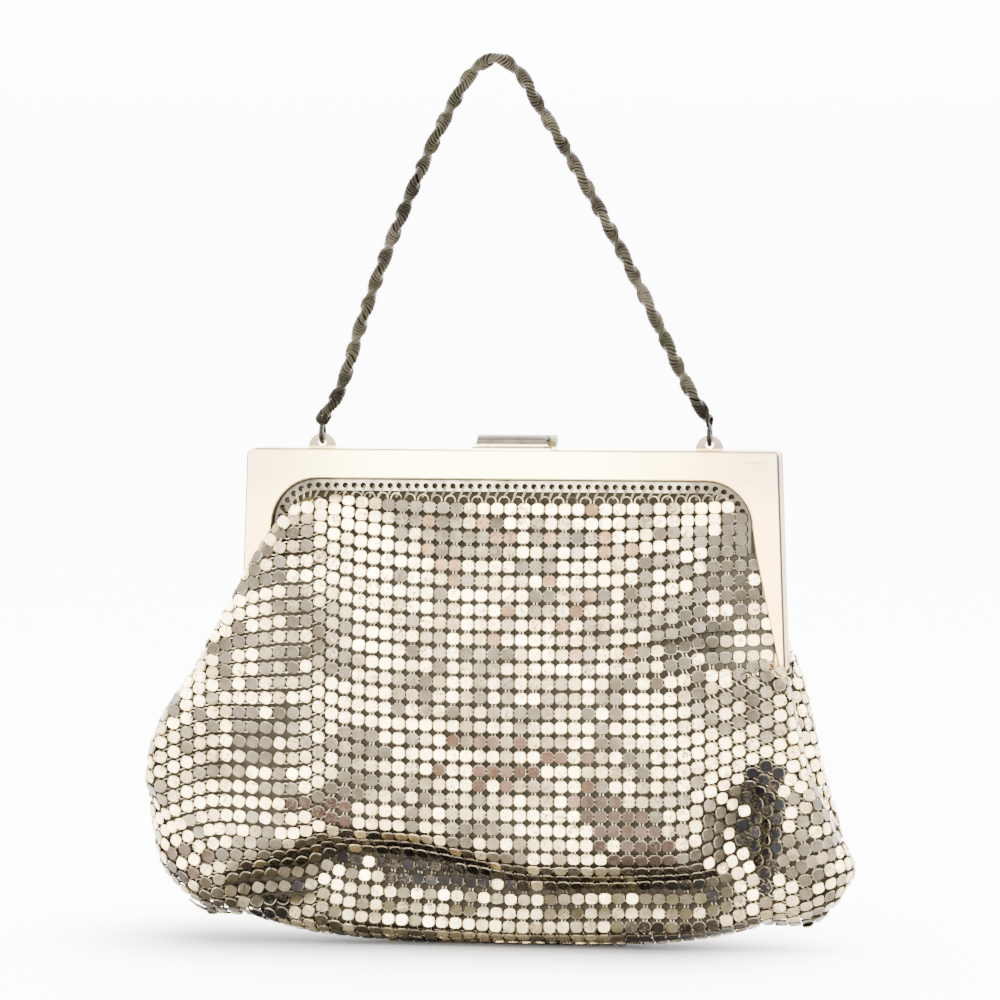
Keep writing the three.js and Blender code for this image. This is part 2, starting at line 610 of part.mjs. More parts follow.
function endRing(side) {
  const ring = new THREE.TorusGeometry(RING_RADIUS, RING_WIRE / 2, RING_SIDES, RING_STEPS);
  ring.rotateY(Math.PI / 2);
  ring.translate(side * LUG_SPACING / 2, lugMiddle, LUG_HOLE_RISE + RING_RADIUS);
  return toGeometry(toSolid(ring));
}

function chainPoint({ side, along, up }) {
  const lugX = side * LUG_SPACING / 2;
  const x = side === 0 ? CHAIN_LEAN : lugX + (CHAIN_LEAN - lugX) * along;
  return new THREE.Vector3(x, lugMiddle * (1 - up), CHAIN_RISE * up);
}

function chainTube() {
  const route = new THREE.CatmullRomCurve3(CHAIN_ROUTE.map(chainPoint), false, "centripetal");
  const section = new THREE.Shape();
  section.absarc(0, 0, CHAIN_DIAMETER / 2, 0, Math.PI * 2, false);
  const tube = new THREE.ExtrudeGeometry(section, {
    steps: CHAIN_STEPS,
    extrudePath: route,
    curveSegments: CHAIN_SIDES / 2,
    bevelEnabled: false,
  });
  return toGeometry(toSolid(tube));
}

// Mesh bag and lining

// Goes smoothly from 0 to 1 as value goes from start to end, whichever of the two is larger
function smooth(start, end, value) {
  const t = THREE.MathUtils.clamp((value - start) / (end - start), 0, 1);
  return t * t * (3 - 2 * t);
}

// A table's row at a share of the height, between rows by a curve that never overshoots them
function rowAt(table, at) {
  let i = table.findIndex((row) => row.at >= at);
  if (i < 1) i = at <= table[0].at ? 1 : table.length - 1;
  const share = (at - table[i - 1].at) / (table[i].at - table[i - 1].at);
  const before = table[Math.max(0, i - 2)];
  const after = table[Math.min(table.length - 1, i + 1)];
  const row = {};
  for (const key of Object.keys(table[0])) {
    row[key] = easedBetween(before, table[i - 1], table[i], after, key, share);
  }
  return row;
}

function sectionAt(at) {
  return { ...rowAt(OUTLINE, at), ...rowAt(GUSSETS, at), ...rowAt(DEPTHS, at) };
}

function slopeAt(a, b, c, key) {
  if (a.at === b.at || b.at === c.at) return 0;
  const left = (b[key] - a[key]) / (b.at - a.at);
  const right = (c[key] - b[key]) / (c.at - b.at);
  return left * right <= 0 ? 0 : 2 * left * right / (left + right);
}

function easedBetween(p, a, b, n, key, t) {
  const span = b.at - a.at;
  const m0 = slopeAt(p, a, b, key) * span;
  const m1 = slopeAt(a, b, n, key) * span;
  const t2 = t * t;
  const t3 = t2 * t;
  const values = (2 * t3 - 3 * t2 + 1) * a[key] + (3 * t2 - 2 * t3) * b[key];
  return values + (t3 - 2 * t2 + t) * m0 + (t3 - t2) * m1;
}

const mouthHalf = innerTopHalf + INNER_CORNER - RAIL_SHOWN - MOUTH_GAP;
const mouthZ = -(TOP_BAR + RAIL_SHOWN + GAP);
const cornerInner = INNER_CORNER - RAIL_SHOWN;

// The bag's top edge follows the rail: across drops round the corners as share goes to 1
function topZ(share) {
  const over = Math.min(cornerInner, Math.max(0, Math.abs(share) * mouthHalf - innerTopHalf));
  return mouthZ - (cornerInner - Math.sqrt(cornerInner * cornerInner - over * over));
}

function bottomZ(share) {
  return -BAG_DROP + BAG_CORNER_RISE * Math.abs(share) ** BAG_CORNER_POWER;
}

const sideTop = topZ(1);
const sideBottom = bottomZ(1);

function sideZ(at) {
  return sideTop + (sideBottom - sideTop) * at;
}

// How far out the gusset's fold lies at a height: inside the frame's arms, clear of the hinge, and
// below it out towards the lobes
function tuckReach(z, share, lobe) {
  const besideArm = innerHalfAt(z) - GAP;
  const besideHinge = outerHalfAt(hingeZ) - RIM_WALL - innerTabInset - TAB_WALL - RIVET_HEAD - 2 * GAP;
  const besideRail = z > -SHOULDER_DROP - BELOW_RAIL ? mouthHalf : Infinity;
  const lower = smooth(-SHOULDER_DROP, -SHOULDER_DROP - BELOW_SHOULDER, z);
  const inside = Math.min(besideArm + (besideHinge - besideArm) * lower, besideRail);
  const belowArms = smooth(0, BELOW_ARMS, -FRAME_DROP - GAP - z);
  return inside + Math.max(0, lobe - inside) * share * belowArms;
}

function lobeReach(side, spread) {
  const reach = side < 0 ? BAG_LEFT_REACH : BAG_RIGHT_REACH;
  return mouthHalf + (reach - mouthHalf) * spread;
}

// The bag's quarter sections at a share of its height: how far each lobe reaches, its depth and fold
function quartersAt(at) {
  const row = sectionAt(at);
  const z = sideZ(at);
  const front = BAG_FRONT_DEPTH;
  const back = BAG_BACK_DEPTH;
  const gap = row.gap * FRAME_HALF_DEPTH;
  const reachL = Math.max(lobeReach(-1, row.lf), lobeReach(-1, row.lb));
  const reachR = Math.max(lobeReach(1, row.rf), lobeReach(1, row.rb));
  const tuckL = tuckReach(z, row.tuckL, reachL);
  const tuckR = tuckReach(z, row.tuckR, reachR);
  const quarter = (side, spread, tuck, fold, depth) => (
    { side, reach: Math.max(tuck, lobeReach(side, spread)), tuck, fold, depth, gap });
  return {
    row,
    leftFront: quarter(-1, row.lf, tuckL, row.foldL, row.fl * front),
    leftBack: quarter(-1, row.lb, tuckL, row.foldL, row.bl * back),
    rightFront: quarter(1, row.rf, tuckR, row.foldRF, row.fr * front),
    rightBack: quarter(1, row.rb, tuckR, row.foldRB, row.br * back),
  };
}

// How far one stretch of a fold moves the front at a place
function foldStretch(x, z, [x0, z0, out0, above0, below0], [x1, z1, out1, above1, below1]) {
  const reach = (share) => (share < 0 ? BAG_LEFT_REACH : BAG_RIGHT_REACH) * share;
  const ax = reach(x0);
  const az = -BAG_DROP * z0;
  const dx = reach(x1) - ax;
  const dz = -BAG_DROP * z1 - az;
  const along = THREE.MathUtils.clamp(((x - ax) * dx + (z - az) * dz) / (dx * dx + dz * dz), 0, 1);
  const above = (z - az) * dx - (x - ax) * dz > 0;
  const wide = THREE.MathUtils.lerp(above ? above0 : below0, above ? above1 : below1, along);
  const away = Math.hypot(x - ax - dx * along, z - az - dz * along) / (BAG_DROP * wide);
  return THREE.MathUtils.lerp(out0, out1, along) * BAG_FRONT_DEPTH * Math.exp(-away * away);
}

// How far the folds move the front at a place, given as a height and a distance from the middle:
// the deepest of the valleys and the highest of the swells there
function foldDepth(x, z) {
  const found = FRONT_FOLDS.flatMap(({ points }) => (
    points.slice(1).map((point, i) => foldStretch(x, z, points[i], point))));
  return Math.min(0, ...found) + Math.max(0, ...found);
}

// The part of a fold's depth that a place has room for, with room as its distance from FOLD_FLOOR
function fittedFold(pushed, room) {
  if (pushed >= 0) return pushed;
  const least = Math.max(room, FOLD_LEAST_ROOM);
  return pushed / (1 + Math.abs(pushed / least) ** FOLD_ROOM_POWER) ** (1 / FOLD_ROOM_POWER);
}

// The deepest valley within a lining's facet of a place
function deepestFoldNear(x, z) {
  const steps = [-1, 0, 1];
  const found = steps.flatMap((i) => steps.map((k) => (
    foldDepth(x + i * LINING_FACET, z + k * LINING_FACET))));
  return Math.min(0, ...found);
}

// Points of one side of the bag, from the middle of the gusset round to the front or back face,
// part of the way from a rounded side to a folded one. The outermost lies at the lobe's reach.
function cornerPoints(quarter, sideReach) {
  const { side, reach, tuck, fold, depth, gap } = quarter;
  const rounded = CORNER_ANGLES.map(THREE.MathUtils.degToRad).map((angle) => (
    [reach - sideReach * (1 - Math.cos(angle)), depth * Math.sin(angle)]));
  const folded = FOLD_SECTION.map((point) => [
    Math.max(tuck, tuck + (reach - tuck) * point.out - FOLD_REACH * point.less),
    gap * point.gap + depth * point.depth,
  ]);
  const points = rounded.map(([x, y], i) => (
    [x + (folded[i][0] - x) * fold, y + (folded[i][1] - y) * fold]));
  const outermost = Math.max(...points.map(([x]) => x));
  const short = Math.max(0, rounded[0][0] - outermost);
  return points.map(([x, y]) => [side * (x + short), y]);
}

// The depth of a face between its two sides, s of the way across
function crowned(s, from, middle, to, crown) {
  return middle + (from - middle) * (1 - s) ** crown + (to - middle) * s ** crown;
}

function sideReachAt(at) {
  return MOUTH_SIDE_REACH + (SIDE_REACH - MOUTH_SIDE_REACH) * smooth(SIDE_FROM, SIDE_TO, at);
}

// A closed ring of the bag's outside at a share of its height, with the points across its front and
// back. Each point is [x, y, share across], share -1 at the left side and 1 at the right.
function bagRing(at, acrossFront, acrossBack) {
  const { row, leftFront, leftBack, rightFront, rightBack } = quartersAt(at);
  const sideReach = sideReachAt(at);
  const ring = [];
  const put = (x, y, share) => ring.push([x, y, share]);
  const face = (from, to, start, count, middle, sign) => {
    for (let i = 1; i <= count; i += 1) {
      const s = i / (count + 1);
      const x = from[0] + (to[0] - from[0]) * s;
      const left = start < 0 ? s : 1 - s;
      put(x, sign * crowned(s, from[1], middle, to[1], row.crown), 2 * left - 1);
    }
  };
  const lf = cornerPoints(leftFront, sideReach);
  const rf = cornerPoints(rightFront, sideReach);
  const lb = cornerPoints(leftBack, sideReach);
  const rb = cornerPoints(rightBack, sideReach);
  const middleReach = ({ tuck, reach, fold }) => tuck * fold + reach * (1 - fold);
  const sideX = (a, b) => a.side * (middleReach(a) + middleReach(b)) / 2;
  put(sideX(leftFront, leftBack), 0, -1);
  lf.forEach(([x, y]) => put(x, -y, -1));
  face(lf[4], rf[4], -1, acrossFront, row.fm * BAG_FRONT_DEPTH, -1);
  rf.reverse().forEach(([x, y]) => put(x, -y, 1));
  put(sideX(rightFront, rightBack), 0, 1);
  rb.forEach(([x, y]) => put(x, y, 1));
  face(rb[4], lb[4], 1, acrossBack, row.bm * BAG_BACK_DEPTH, 1);
  lb.reverse().forEach(([x, y]) => put(x, y, -1));
  return ring;
}

function bagPoints(at, acrossFront, acrossBack) {
  return bagRing(at, acrossFront, acrossBack).map(([x, y, share]) => {
    const z = topZ(share) + (bottomZ(share) - topZ(share)) * at;
    const onFace = Math.max(0, 1 - Math.abs(share) ** FOLD_EDGE_POWER);
    const settled = smooth(1, 1 - FOLD_END, at);
    const pushed = y < 0 ? foldDepth(x, z) * onFace * settled : 0;
    return new THREE.Vector3(x, y - fittedFold(pushed, -y - FOLD_FLOOR), z);
  });
}

// Moves each point of a grid of rings square to the surface, outwards by a distance
function offsetRings(rings, distance) {
  const count = rings[0].length;
  return rings.map((ring, r) => ring.map((point, i) => {
    const next = ring[(i + 1) % count];
    const last = ring[(i + count - 1) % count];
    const up = rings[Math.max(0, r - 1)][i];
    const down = rings[Math.min(rings.length - 1, r + 1)][i];
    const across = next.clone().sub(last);
    const along = down.clone().sub(up);
    const normal = along.cross(across).normalize();
    return point.clone().addScaledVector(normal, distance);
  }));
}

// Closes a ring with a strip of triangles between its front and its back. turn is the number of the
// point at the right side, where the ring goes from front to back.
function fillEnd(ring, turn, indexOf, triangles, flip) {
  const put = (a, b, c) => triangles.push(indexOf(a), indexOf(flip ? c : b), indexOf(flip ? b : c));
  const last = ring.length - 1;
  let front = 1;
  let back = last;
  put(0, front, back);
  while (front < turn - 1 || back > turn + 1) {
    const frontNext = back === turn + 1 || (front < turn - 1 && ring[front + 1].x < ring[back - 1].x);
    if (frontNext) {
      put(front, front + 1, back);
      front += 1;
    } else {
      put(front, back - 1, back);
      back -= 1;
    }
  }
  put(front, turn, back);
}

// A hollow body between two grids of rings, open at the first ring and closed at the last. turn is
// the number of each ring's point in the middle of the right side.
function hollowBody(outer, inner, turn) {
  const count = outer[0].length;
  const rows = outer.length;
  const points = outer.flat().concat(inner.flat());
  const outerAt = (r, i) => r * count + (i % count);
  const innerAt = (r, i) => rows * count + r * count + (i % count);
  const triangles = [];
  const quad = (a, b, c, d) => triangles.push(a, b, c, a, c, d);
  for (let r = 0; r < rows - 1; r += 1) {
    for (let i = 0; i < count; i += 1) {
      quad(outerAt(r, i), outerAt(r + 1, i), outerAt(r + 1, i + 1), outerAt(r, i + 1));
      quad(innerAt(r, i), innerAt(r, i + 1), innerAt(r + 1, i + 1), innerAt(r + 1, i));
    }
  }
  for (let i = 0; i < count; i += 1) {
    quad(outerAt(0, i), outerAt(0, i + 1), innerAt(0, i + 1), innerAt(0, i));
  }
  fillEnd(outer[rows - 1], turn, (i) => outerAt(rows - 1, i), triangles, true);
  fillEnd(inner[rows - 1], turn, (i) => innerAt(rows - 1, i), triangles, false);
  const geometry = new THREE.BufferGeometry();
  const numbers = points.flatMap((point) => [point.x, point.y, point.z]);
  geometry.setAttribute("position", new THREE.Float32BufferAttribute(numbers, 3));
  geometry.setIndex(triangles);
  return geometry;
}

function meshBag() {
  const outer = BAG_LEVELS.map((at) => bagPoints(at, MESH_FRONT_COUNT, MESH_BACK_COUNT));
  const inner = offsetRings(outer, -MESH_WALL);
  return hollowBody(outer, inner, 2 * CORNER_ANGLES.length + MESH_FRONT_COUNT + 1);
}

// The depth of one face of the bag at a share of the way across and a share of the height
function faceDepth(share, at, sign) {
  const { row } = quartersAt(at);
  const total = sign < 0 ? BAG_FRONT_DEPTH : BAG_BACK_DEPTH;
  const [left, middle, right] = sign < 0 ? [row.fl, row.fm, row.fr] : [row.bl, row.bm, row.br];
  return crowned((share + 1) / 2, left * total, middle * total, right * total, row.crown);
}

// A closed ring of the lining's outside, level all round, at a share of the lining's own height
function liningPoints(at, wallIn) {
  const top = -LINING_TUCK_IN;
  const level = (share) => top + (bottomZ(share) + wallIn + LINING_BOTTOM_GAP - top) * at;
  const shareDown = (share) => THREE.MathUtils.clamp(
    (topZ(share) - level(share)) / (topZ(share) - bottomZ(share)), 0, 1);
  const besides = [-LINING_CAUTION, 0, LINING_CAUTION].map((step) => (
    quartersAt(THREE.MathUtils.clamp(shareDown(1) + step, 0, 1))));
  const half = (first, second) => Math.min(...besides.flatMap((quarters) => (
    [quarters[first], quarters[second]].flatMap(({ tuck, reach }) => [tuck, reach])))) - wallIn;
  const left = half("leftFront", "leftBack");
  const right = half("rightFront", "rightBack");
  const points = [];
  const put = (x, depthShare, sign, share) => {
    const down = shareDown(share);
    const lower = Math.min(1, down + 2 * wallIn / BAG_DROP);
    const face = Math.min(
      faceDepth(share, down, sign), faceDepth(share, lower, sign), faceDepth(share * 0.8, down, sign));
    const dent = sign < 0 ? deepestFoldNear(x, level(share)) * smooth(1, 1 - FOLD_END, down) : 0;
    const atRail = railFront - RAIL_WALL - GAP;
    const dented = sign < 0 ? fittedFold(dent, face - FOLD_FLOOR) : 0;
    const free = Math.max(LINING_WALL, face - wallIn - LINING_SLACK + dented);
    const released = smooth(0, LINING_RELEASE, down);
    const y = Math.min(free, atRail + Math.max(0, free - atRail) * released);
    points.push(new THREE.Vector3(x, sign * y * depthShare, level(share)));
  };
  const angles = LINING_ANGLES.map(THREE.MathUtils.degToRad);
  const reach = sideReachAt(at);
  const corner = (x, sideSign, sign, list) => list.forEach((angle) => (
    put(sideSign * (x - reach * (1 - Math.cos(angle))), Math.sin(angle), sign, sideSign)));
  const across = (count, i) => 2 * i / (count + 1) - 1;
  const face = (share, sign) => put(share < 0 ? share * left : share * right, 1, sign, share);
  put(-left, 0, -1, -1);
  corner(left, -1, -1, angles);
  for (let i = 1; i <= LINING_FRONT_COUNT; i += 1) face(across(LINING_FRONT_COUNT, i), -1);
  corner(right, 1, -1, angles.slice().reverse());
  put(right, 0, 1, 1);
  corner(right, 1, 1, angles);
  for (let i = LINING_BACK_COUNT; i >= 1; i -= 1) face(across(LINING_BACK_COUNT, i), 1);
  corner(left, -1, 1, angles.slice().reverse());
  return points;
}

function lining() {
  const wallIn = MESH_WALL + LINING_GAP;
  const outer = LINING_LEVELS.map((at) => liningPoints(at, wallIn));
  const inner = offsetRings(outer, -LINING_WALL);
  return hollowBody(outer, inner, 2 * LINING_ANGLES.length + LINING_FRONT_COUNT + 1);
}

// Assembly

function buildPurse() {
  const frame = new THREE.Group();
  frame.add(named("front_frame", frontFrame(), COLOURS.frame));
  frame.add(named("back_frame", backFrame(), COLOURS.frame));
  const rail = frontRail();
  frame.add(named("front_rail", rail, COLOURS.rail));
  frame.add(named("back_rail", toBack(rail), COLOURS.rail));
  frame.add(named("left_hinge_rivet", hingeRivet(-1), COLOURS.frame));
  frame.add(named("right_hinge_rivet", hingeRivet(1), COLOURS.frame));

  const clasp = new THREE.Group();
  clasp.add(named("clasp_lever", claspLever(), COLOURS.clasp));
  clasp.add(named("clasp_pin", claspPin(), COLOURS.clasp));

  const handle = new THREE.Group();
  handle.add(named("left_end_ring", endRing(-1), COLOURS.chain));
  handle.add(named("right_end_ring", endRing(1), COLOURS.chain));
  handle.add(named("chain", chainTube(), COLOURS.chain));

  const bag = new THREE.Group();
  bag.add(named("mesh_bag", meshBag(), COLOURS.mesh));
  bag.add(named("lining", lining(), COLOURS.lining));

  const purse = new THREE.Group();
  purse.add(frame, clasp, handle, bag);
  purse.position.set(-CHAIN_LEAN, 0, -CHAIN_RISE);
  return purse;
}

export default buildPurse();
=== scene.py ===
"""Metal mesh purse: armour-mesh bag, lining, pierced rails, rope chain and satin frame."""

import math

import bpy
import numpy as np
from mathutils import Matrix, Vector


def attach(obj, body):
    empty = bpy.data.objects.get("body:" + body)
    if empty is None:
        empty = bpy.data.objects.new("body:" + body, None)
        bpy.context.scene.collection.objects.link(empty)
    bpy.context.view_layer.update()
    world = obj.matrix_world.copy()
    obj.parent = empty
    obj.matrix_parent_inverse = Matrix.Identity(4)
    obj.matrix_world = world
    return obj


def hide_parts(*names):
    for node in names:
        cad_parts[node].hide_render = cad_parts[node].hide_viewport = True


bl_info = {
    "name": "Metal Mesh Purse",
    "version": (1, 0, 0),
    "blender": (4, 5, 0),
    "location": "View3D > Sidebar > Purse",
    "description": "Builds the visual pieces of a metal mesh purse around its solids",
    "category": "Object",
}

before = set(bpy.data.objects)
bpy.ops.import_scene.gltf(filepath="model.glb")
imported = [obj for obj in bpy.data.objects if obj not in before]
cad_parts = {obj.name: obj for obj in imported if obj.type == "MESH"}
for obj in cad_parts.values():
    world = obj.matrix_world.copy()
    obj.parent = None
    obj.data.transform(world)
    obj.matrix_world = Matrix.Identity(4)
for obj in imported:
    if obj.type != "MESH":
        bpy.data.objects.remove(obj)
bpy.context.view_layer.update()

MM = 0.001
BODY = "purse"

# Where the purse's own origin, the middle of the frame's top edge, lies in the frame, in millimetres
PURSE_AT = np.array([3.4, 0.0, -76.6])

# Sizes shared with the solids, in millimetres
FRAME_TOP_WIDTH = 104.6
FRAME_FOOT_WIDTH = 107.6
FRAME_DROP = 42.8
FRAME_HALF_DEPTH = 6.0
TOP_BAR = 5.6
ARM_WIDTH = 4.9
ARM_TIP_WIDTH = 1.0
INNER_CORNER = 9.0
SHOULDER_DROP = 19.6
PLATE_WALL = 1.0
GAP = 0.3
RAIL_WALL = 0.6
RAIL_SHOWN = 2.45
RAIL_HIDDEN = 0.9
RAIL_HOLE_INSET = 1.45
HINGE_CLEAR = 50.0
MOUTH_GAP = 0.85
BAG_LEFT_REACH = 73.3
BAG_RIGHT_REACH = 67.2
BAG_DROP = 97.3
BAG_DEPTH = 13.2
BAG_CORNER_RISE = 4.6
BAG_CORNER_POWER = 4
FOLD_REACH = 1.2
BELOW_RAIL = 0.5
BELOW_ARMS = 3.0
BELOW_SHOULDER = 12.0
MOUTH_SIDE_REACH = 1.6
SIDE_REACH = 11.0
SIDE_FROM = 0.35
SIDE_TO = 0.7
FOLD_END = 0.1
FOLD_EDGE_POWER = 6
LUG_SPACING = 76.8
LUG_MIDDLE = 0.7
CHAIN_RISE = 76.6
CHAIN_LEAN = -3.4

TOP_HALF = FRAME_TOP_WIDTH / 2
FOOT_HALF = FRAME_FOOT_WIDTH / 2
INNER_TOP_HALF = TOP_HALF - ARM_WIDTH - INNER_CORNER
MOUTH_HALF = INNER_TOP_HALF + INNER_CORNER - RAIL_SHOWN - MOUTH_GAP
MOUTH_Z = -(TOP_BAR + RAIL_SHOWN + GAP)
CORNER_DROP = TOP_BAR + INNER_CORNER
RAIL_FRONT = FRAME_HALF_DEPTH - PLATE_WALL - GAP

# Outline of the bag from the mouth down: shares of the way from the mouth's side out to the widest
# reach, of the left and right lobes at the front and the back
OUTLINE_COLUMNS = ("at", "lf", "lb", "rf", "rb")
OUTLINE = (
    (0.0, 0.0, 0.0, 0.0, 0.0),
    (0.03, 0.06, 0.05, 0.0, 0.03),
    (0.1, 0.2, 0.14, 0.0, 0.12),
    (0.2, 0.35, 0.28, 0.0, 0.25),
    (0.3, 0.5, 0.42, 0.0, 0.36),
    (0.36, 0.58, 0.52, 0.28, 0.46),
    (0.42, 0.69, 0.64, 0.47, 0.54),
    (0.5, 0.85, 0.8, 0.53, 0.61),
    (0.6, 0.97, 0.93, 0.62, 0.7),
    (0.7, 1.0, 0.98, 0.76, 0.8),
    (0.8, 0.97, 0.97, 0.92, 0.92),
    (0.86, 0.94, 0.94, 1.0, 1.0),
    (0.93, 0.83, 0.83, 0.9, 0.9),
    (0.965, 0.745, 0.745, 0.8, 0.8),
    (0.987, 0.675, 0.675, 0.71, 0.71),
    (1.0, 0.62, 0.62, 0.64, 0.64),
)

# The gussets: how far out the fold lies, how far each side is folded in, and the fold's half width
GUSSET_COLUMNS = ("at", "tuck_l", "tuck_r", "fold_l", "fold_rf", "fold_rb", "gap")
GUSSETS = (
    (0.0, 0.0, 0.0, 0.0, 0.0, 0.0, 1.1),
    (0.03, 0.0, 0.0, 1.0, 0.0, 1.0, 1.1),
    (0.3, 0.0, 0.0, 1.0, 0.0, 1.0, 1.1),
    (0.36, 0.0, 0.0, 1.0, 1.0, 1.0, 1.1),
    (0.42, 0.06, 0.06, 1.0, 1.0, 1.0, 0.7),
    (0.5, 0.3, 0.3, 1.0, 1.0, 1.0, 0.4),
    (0.6, 0.6, 0.5, 0.8, 0.95, 0.95, 0.3),
    (0.7, 0.8, 0.65, 0.4, 0.8, 0.8, 0.28),
    (0.8, 0.9, 0.8, 0.0, 0.4, 0.4, 0.28),
    (0.86, 0.95, 0.9, 0.0, 0.0, 0.0, 0.28),
    (1.0, 0.95, 0.95, 0.0, 0.0, 0.0, 0.28),
)

# Depths as shares of the bag's depth at the left, the middle and the right, front and back
DEPTH_COLUMNS = ("at", "fl", "fm", "fr", "bl", "bm", "br", "crown")
DEPTHS = (
    (0.0, 0.38, 0.4, 0.38, 0.38, 0.4, 0.38, 7.0),
    (0.03, 0.71, 0.43, 0.4, 0.71, 0.43, 0.71, 7.0),
    (0.1, 0.74, 0.55, 0.42, 0.74, 0.55, 0.74, 6.0),
    (0.2, 0.76, 0.68, 0.44, 0.75, 0.68, 0.75, 5.0),
    (0.3, 0.78, 0.78, 0.48, 0.77, 0.78, 0.76, 4.0),
    (0.36, 0.79, 0.84, 0.72, 0.78, 0.84, 0.77, 3.6),
    (0.42, 0.8, 0.89, 0.72, 0.8, 0.89, 0.76, 3.2),
    (0.5, 0.76, 0.94, 0.7, 0.77, 0.94, 0.72, 3.0),
    (0.6, 0.72, 0.98, 0.68, 0.74, 0.98, 0.7, 2.8),
    (0.7, 0.7, 1.0, 0.68, 0.72, 1.0, 0.7, 2.6),
    (0.86, 0.7, 1.0, 0.7, 0.7, 1.0, 0.7, 2.4),
    (0.93, 0.65, 0.92, 0.65, 0.65, 0.92, 0.65, 2.4),
    (0.965, 0.52, 0.74, 0.52, 0.52, 0.74, 0.52, 2.4),
    (0.987, 0.34, 0.48, 0.34, 0.34, 0.48, 0.34, 2.4),
    (1.0, 0.12, 0.17, 0.12, 0.12, 0.17, 0.12, 2.4),
)

# Half of a folded side: share of the way out to the lobe, share of FOLD_REACH taken off, and the
# shares of the fold's half width and the lobe's depth
FOLD_SECTION = (
    (0.0, 0.0, 0.86, 0.0),
    (0.1, 0.0, 1.0, 0.0),
    (0.7, 0.1, 1.0, 0.0),
    (1.0, 0.0, 0.5, 0.5),
    (1.0, 1.0, 0.0, 1.0),
)
CORNER_ANGLES = (14, 30, 47, 64, 82)

# Folds of the front. Each follows a line through its points: shares of the reach and of the drop, how
# far it goes out as a share of the bag's depth, and how wide it is above and below the line, or left
# and right of it, as shares of the drop
FRONT_FOLDS = (
    ("crease over the bottom roll", (
        (-0.83, 0.945, -0.42, 0.05, 0.05), (-0.68, 0.885, -0.55, 0.05, 0.055),
        (-0.49, 0.835, -0.64, 0.045, 0.1), (-0.288, 0.832, -0.66, 0.045, 0.12),
        (-0.127, 0.858, -0.6, 0.04, 0.12), (0.039, 0.883, -0.46, 0.034, 0.1),
        (0.274, 0.89, -0.42, 0.034, 0.1), (0.568, 0.872, -0.42, 0.036, 0.1),
        (0.804, 0.835, -0.3, 0.04, 0.06))),
    ("upright valley, right", (
        (0.72, 0.63, -0.12, 0.045, 0.045), (0.7, 0.706, -0.55, 0.055, 0.055),
        (0.69, 0.822, -0.5, 0.055, 0.055))),
    ("bulge right of the middle", ((0.2, 0.77, 0.14, 0.07, 0.06), (0.5, 0.79, 0.16, 0.07, 0.06))),
    ("swell, lower left", ((-0.75, 0.82, 0.12, 0.05, 0.05), (-0.6, 0.8, 0.12, 0.05, 0.05))),
    ("ripple, upper right", ((0.5, 0.2, -0.07, 0.06, 0.06), (-0.2, 0.6, -0.07, 0.06, 0.06))),
    ("ripple, upper left", ((-0.56, 0.25, -0.08, 0.05, 0.05), (-0.6, 0.62, -0.08, 0.05, 0.05))),
)
FOLD_FLOOR = 3.0
FOLD_LEAST_ROOM = 0.2
FOLD_ROOM_POWER = 4

# The chain's route: side, share of the way from a lug to the top, and share of the rise
CHAIN_ROUTE = (
    (-1, 0.0, 0.075),
    (-1, 0.1, 0.15),
    (-1, 0.215, 0.31),
    (-1, 0.345, 0.475),
    (-1, 0.475, 0.62),
    (-1, 0.615, 0.765),
    (-1, 0.755, 0.89),
    (-1, 0.875, 0.972),
    (0, 1.0, 1.0),
    (1, 0.9, 0.965),
    (1, 0.81, 0.885),
    (1, 0.665, 0.755),
    (1, 0.51, 0.605),
    (1, 0.36, 0.45),
    (1, 0.215, 0.29),
    (1, 0.085, 0.145),
    (1, 0.0, 0.075),
)

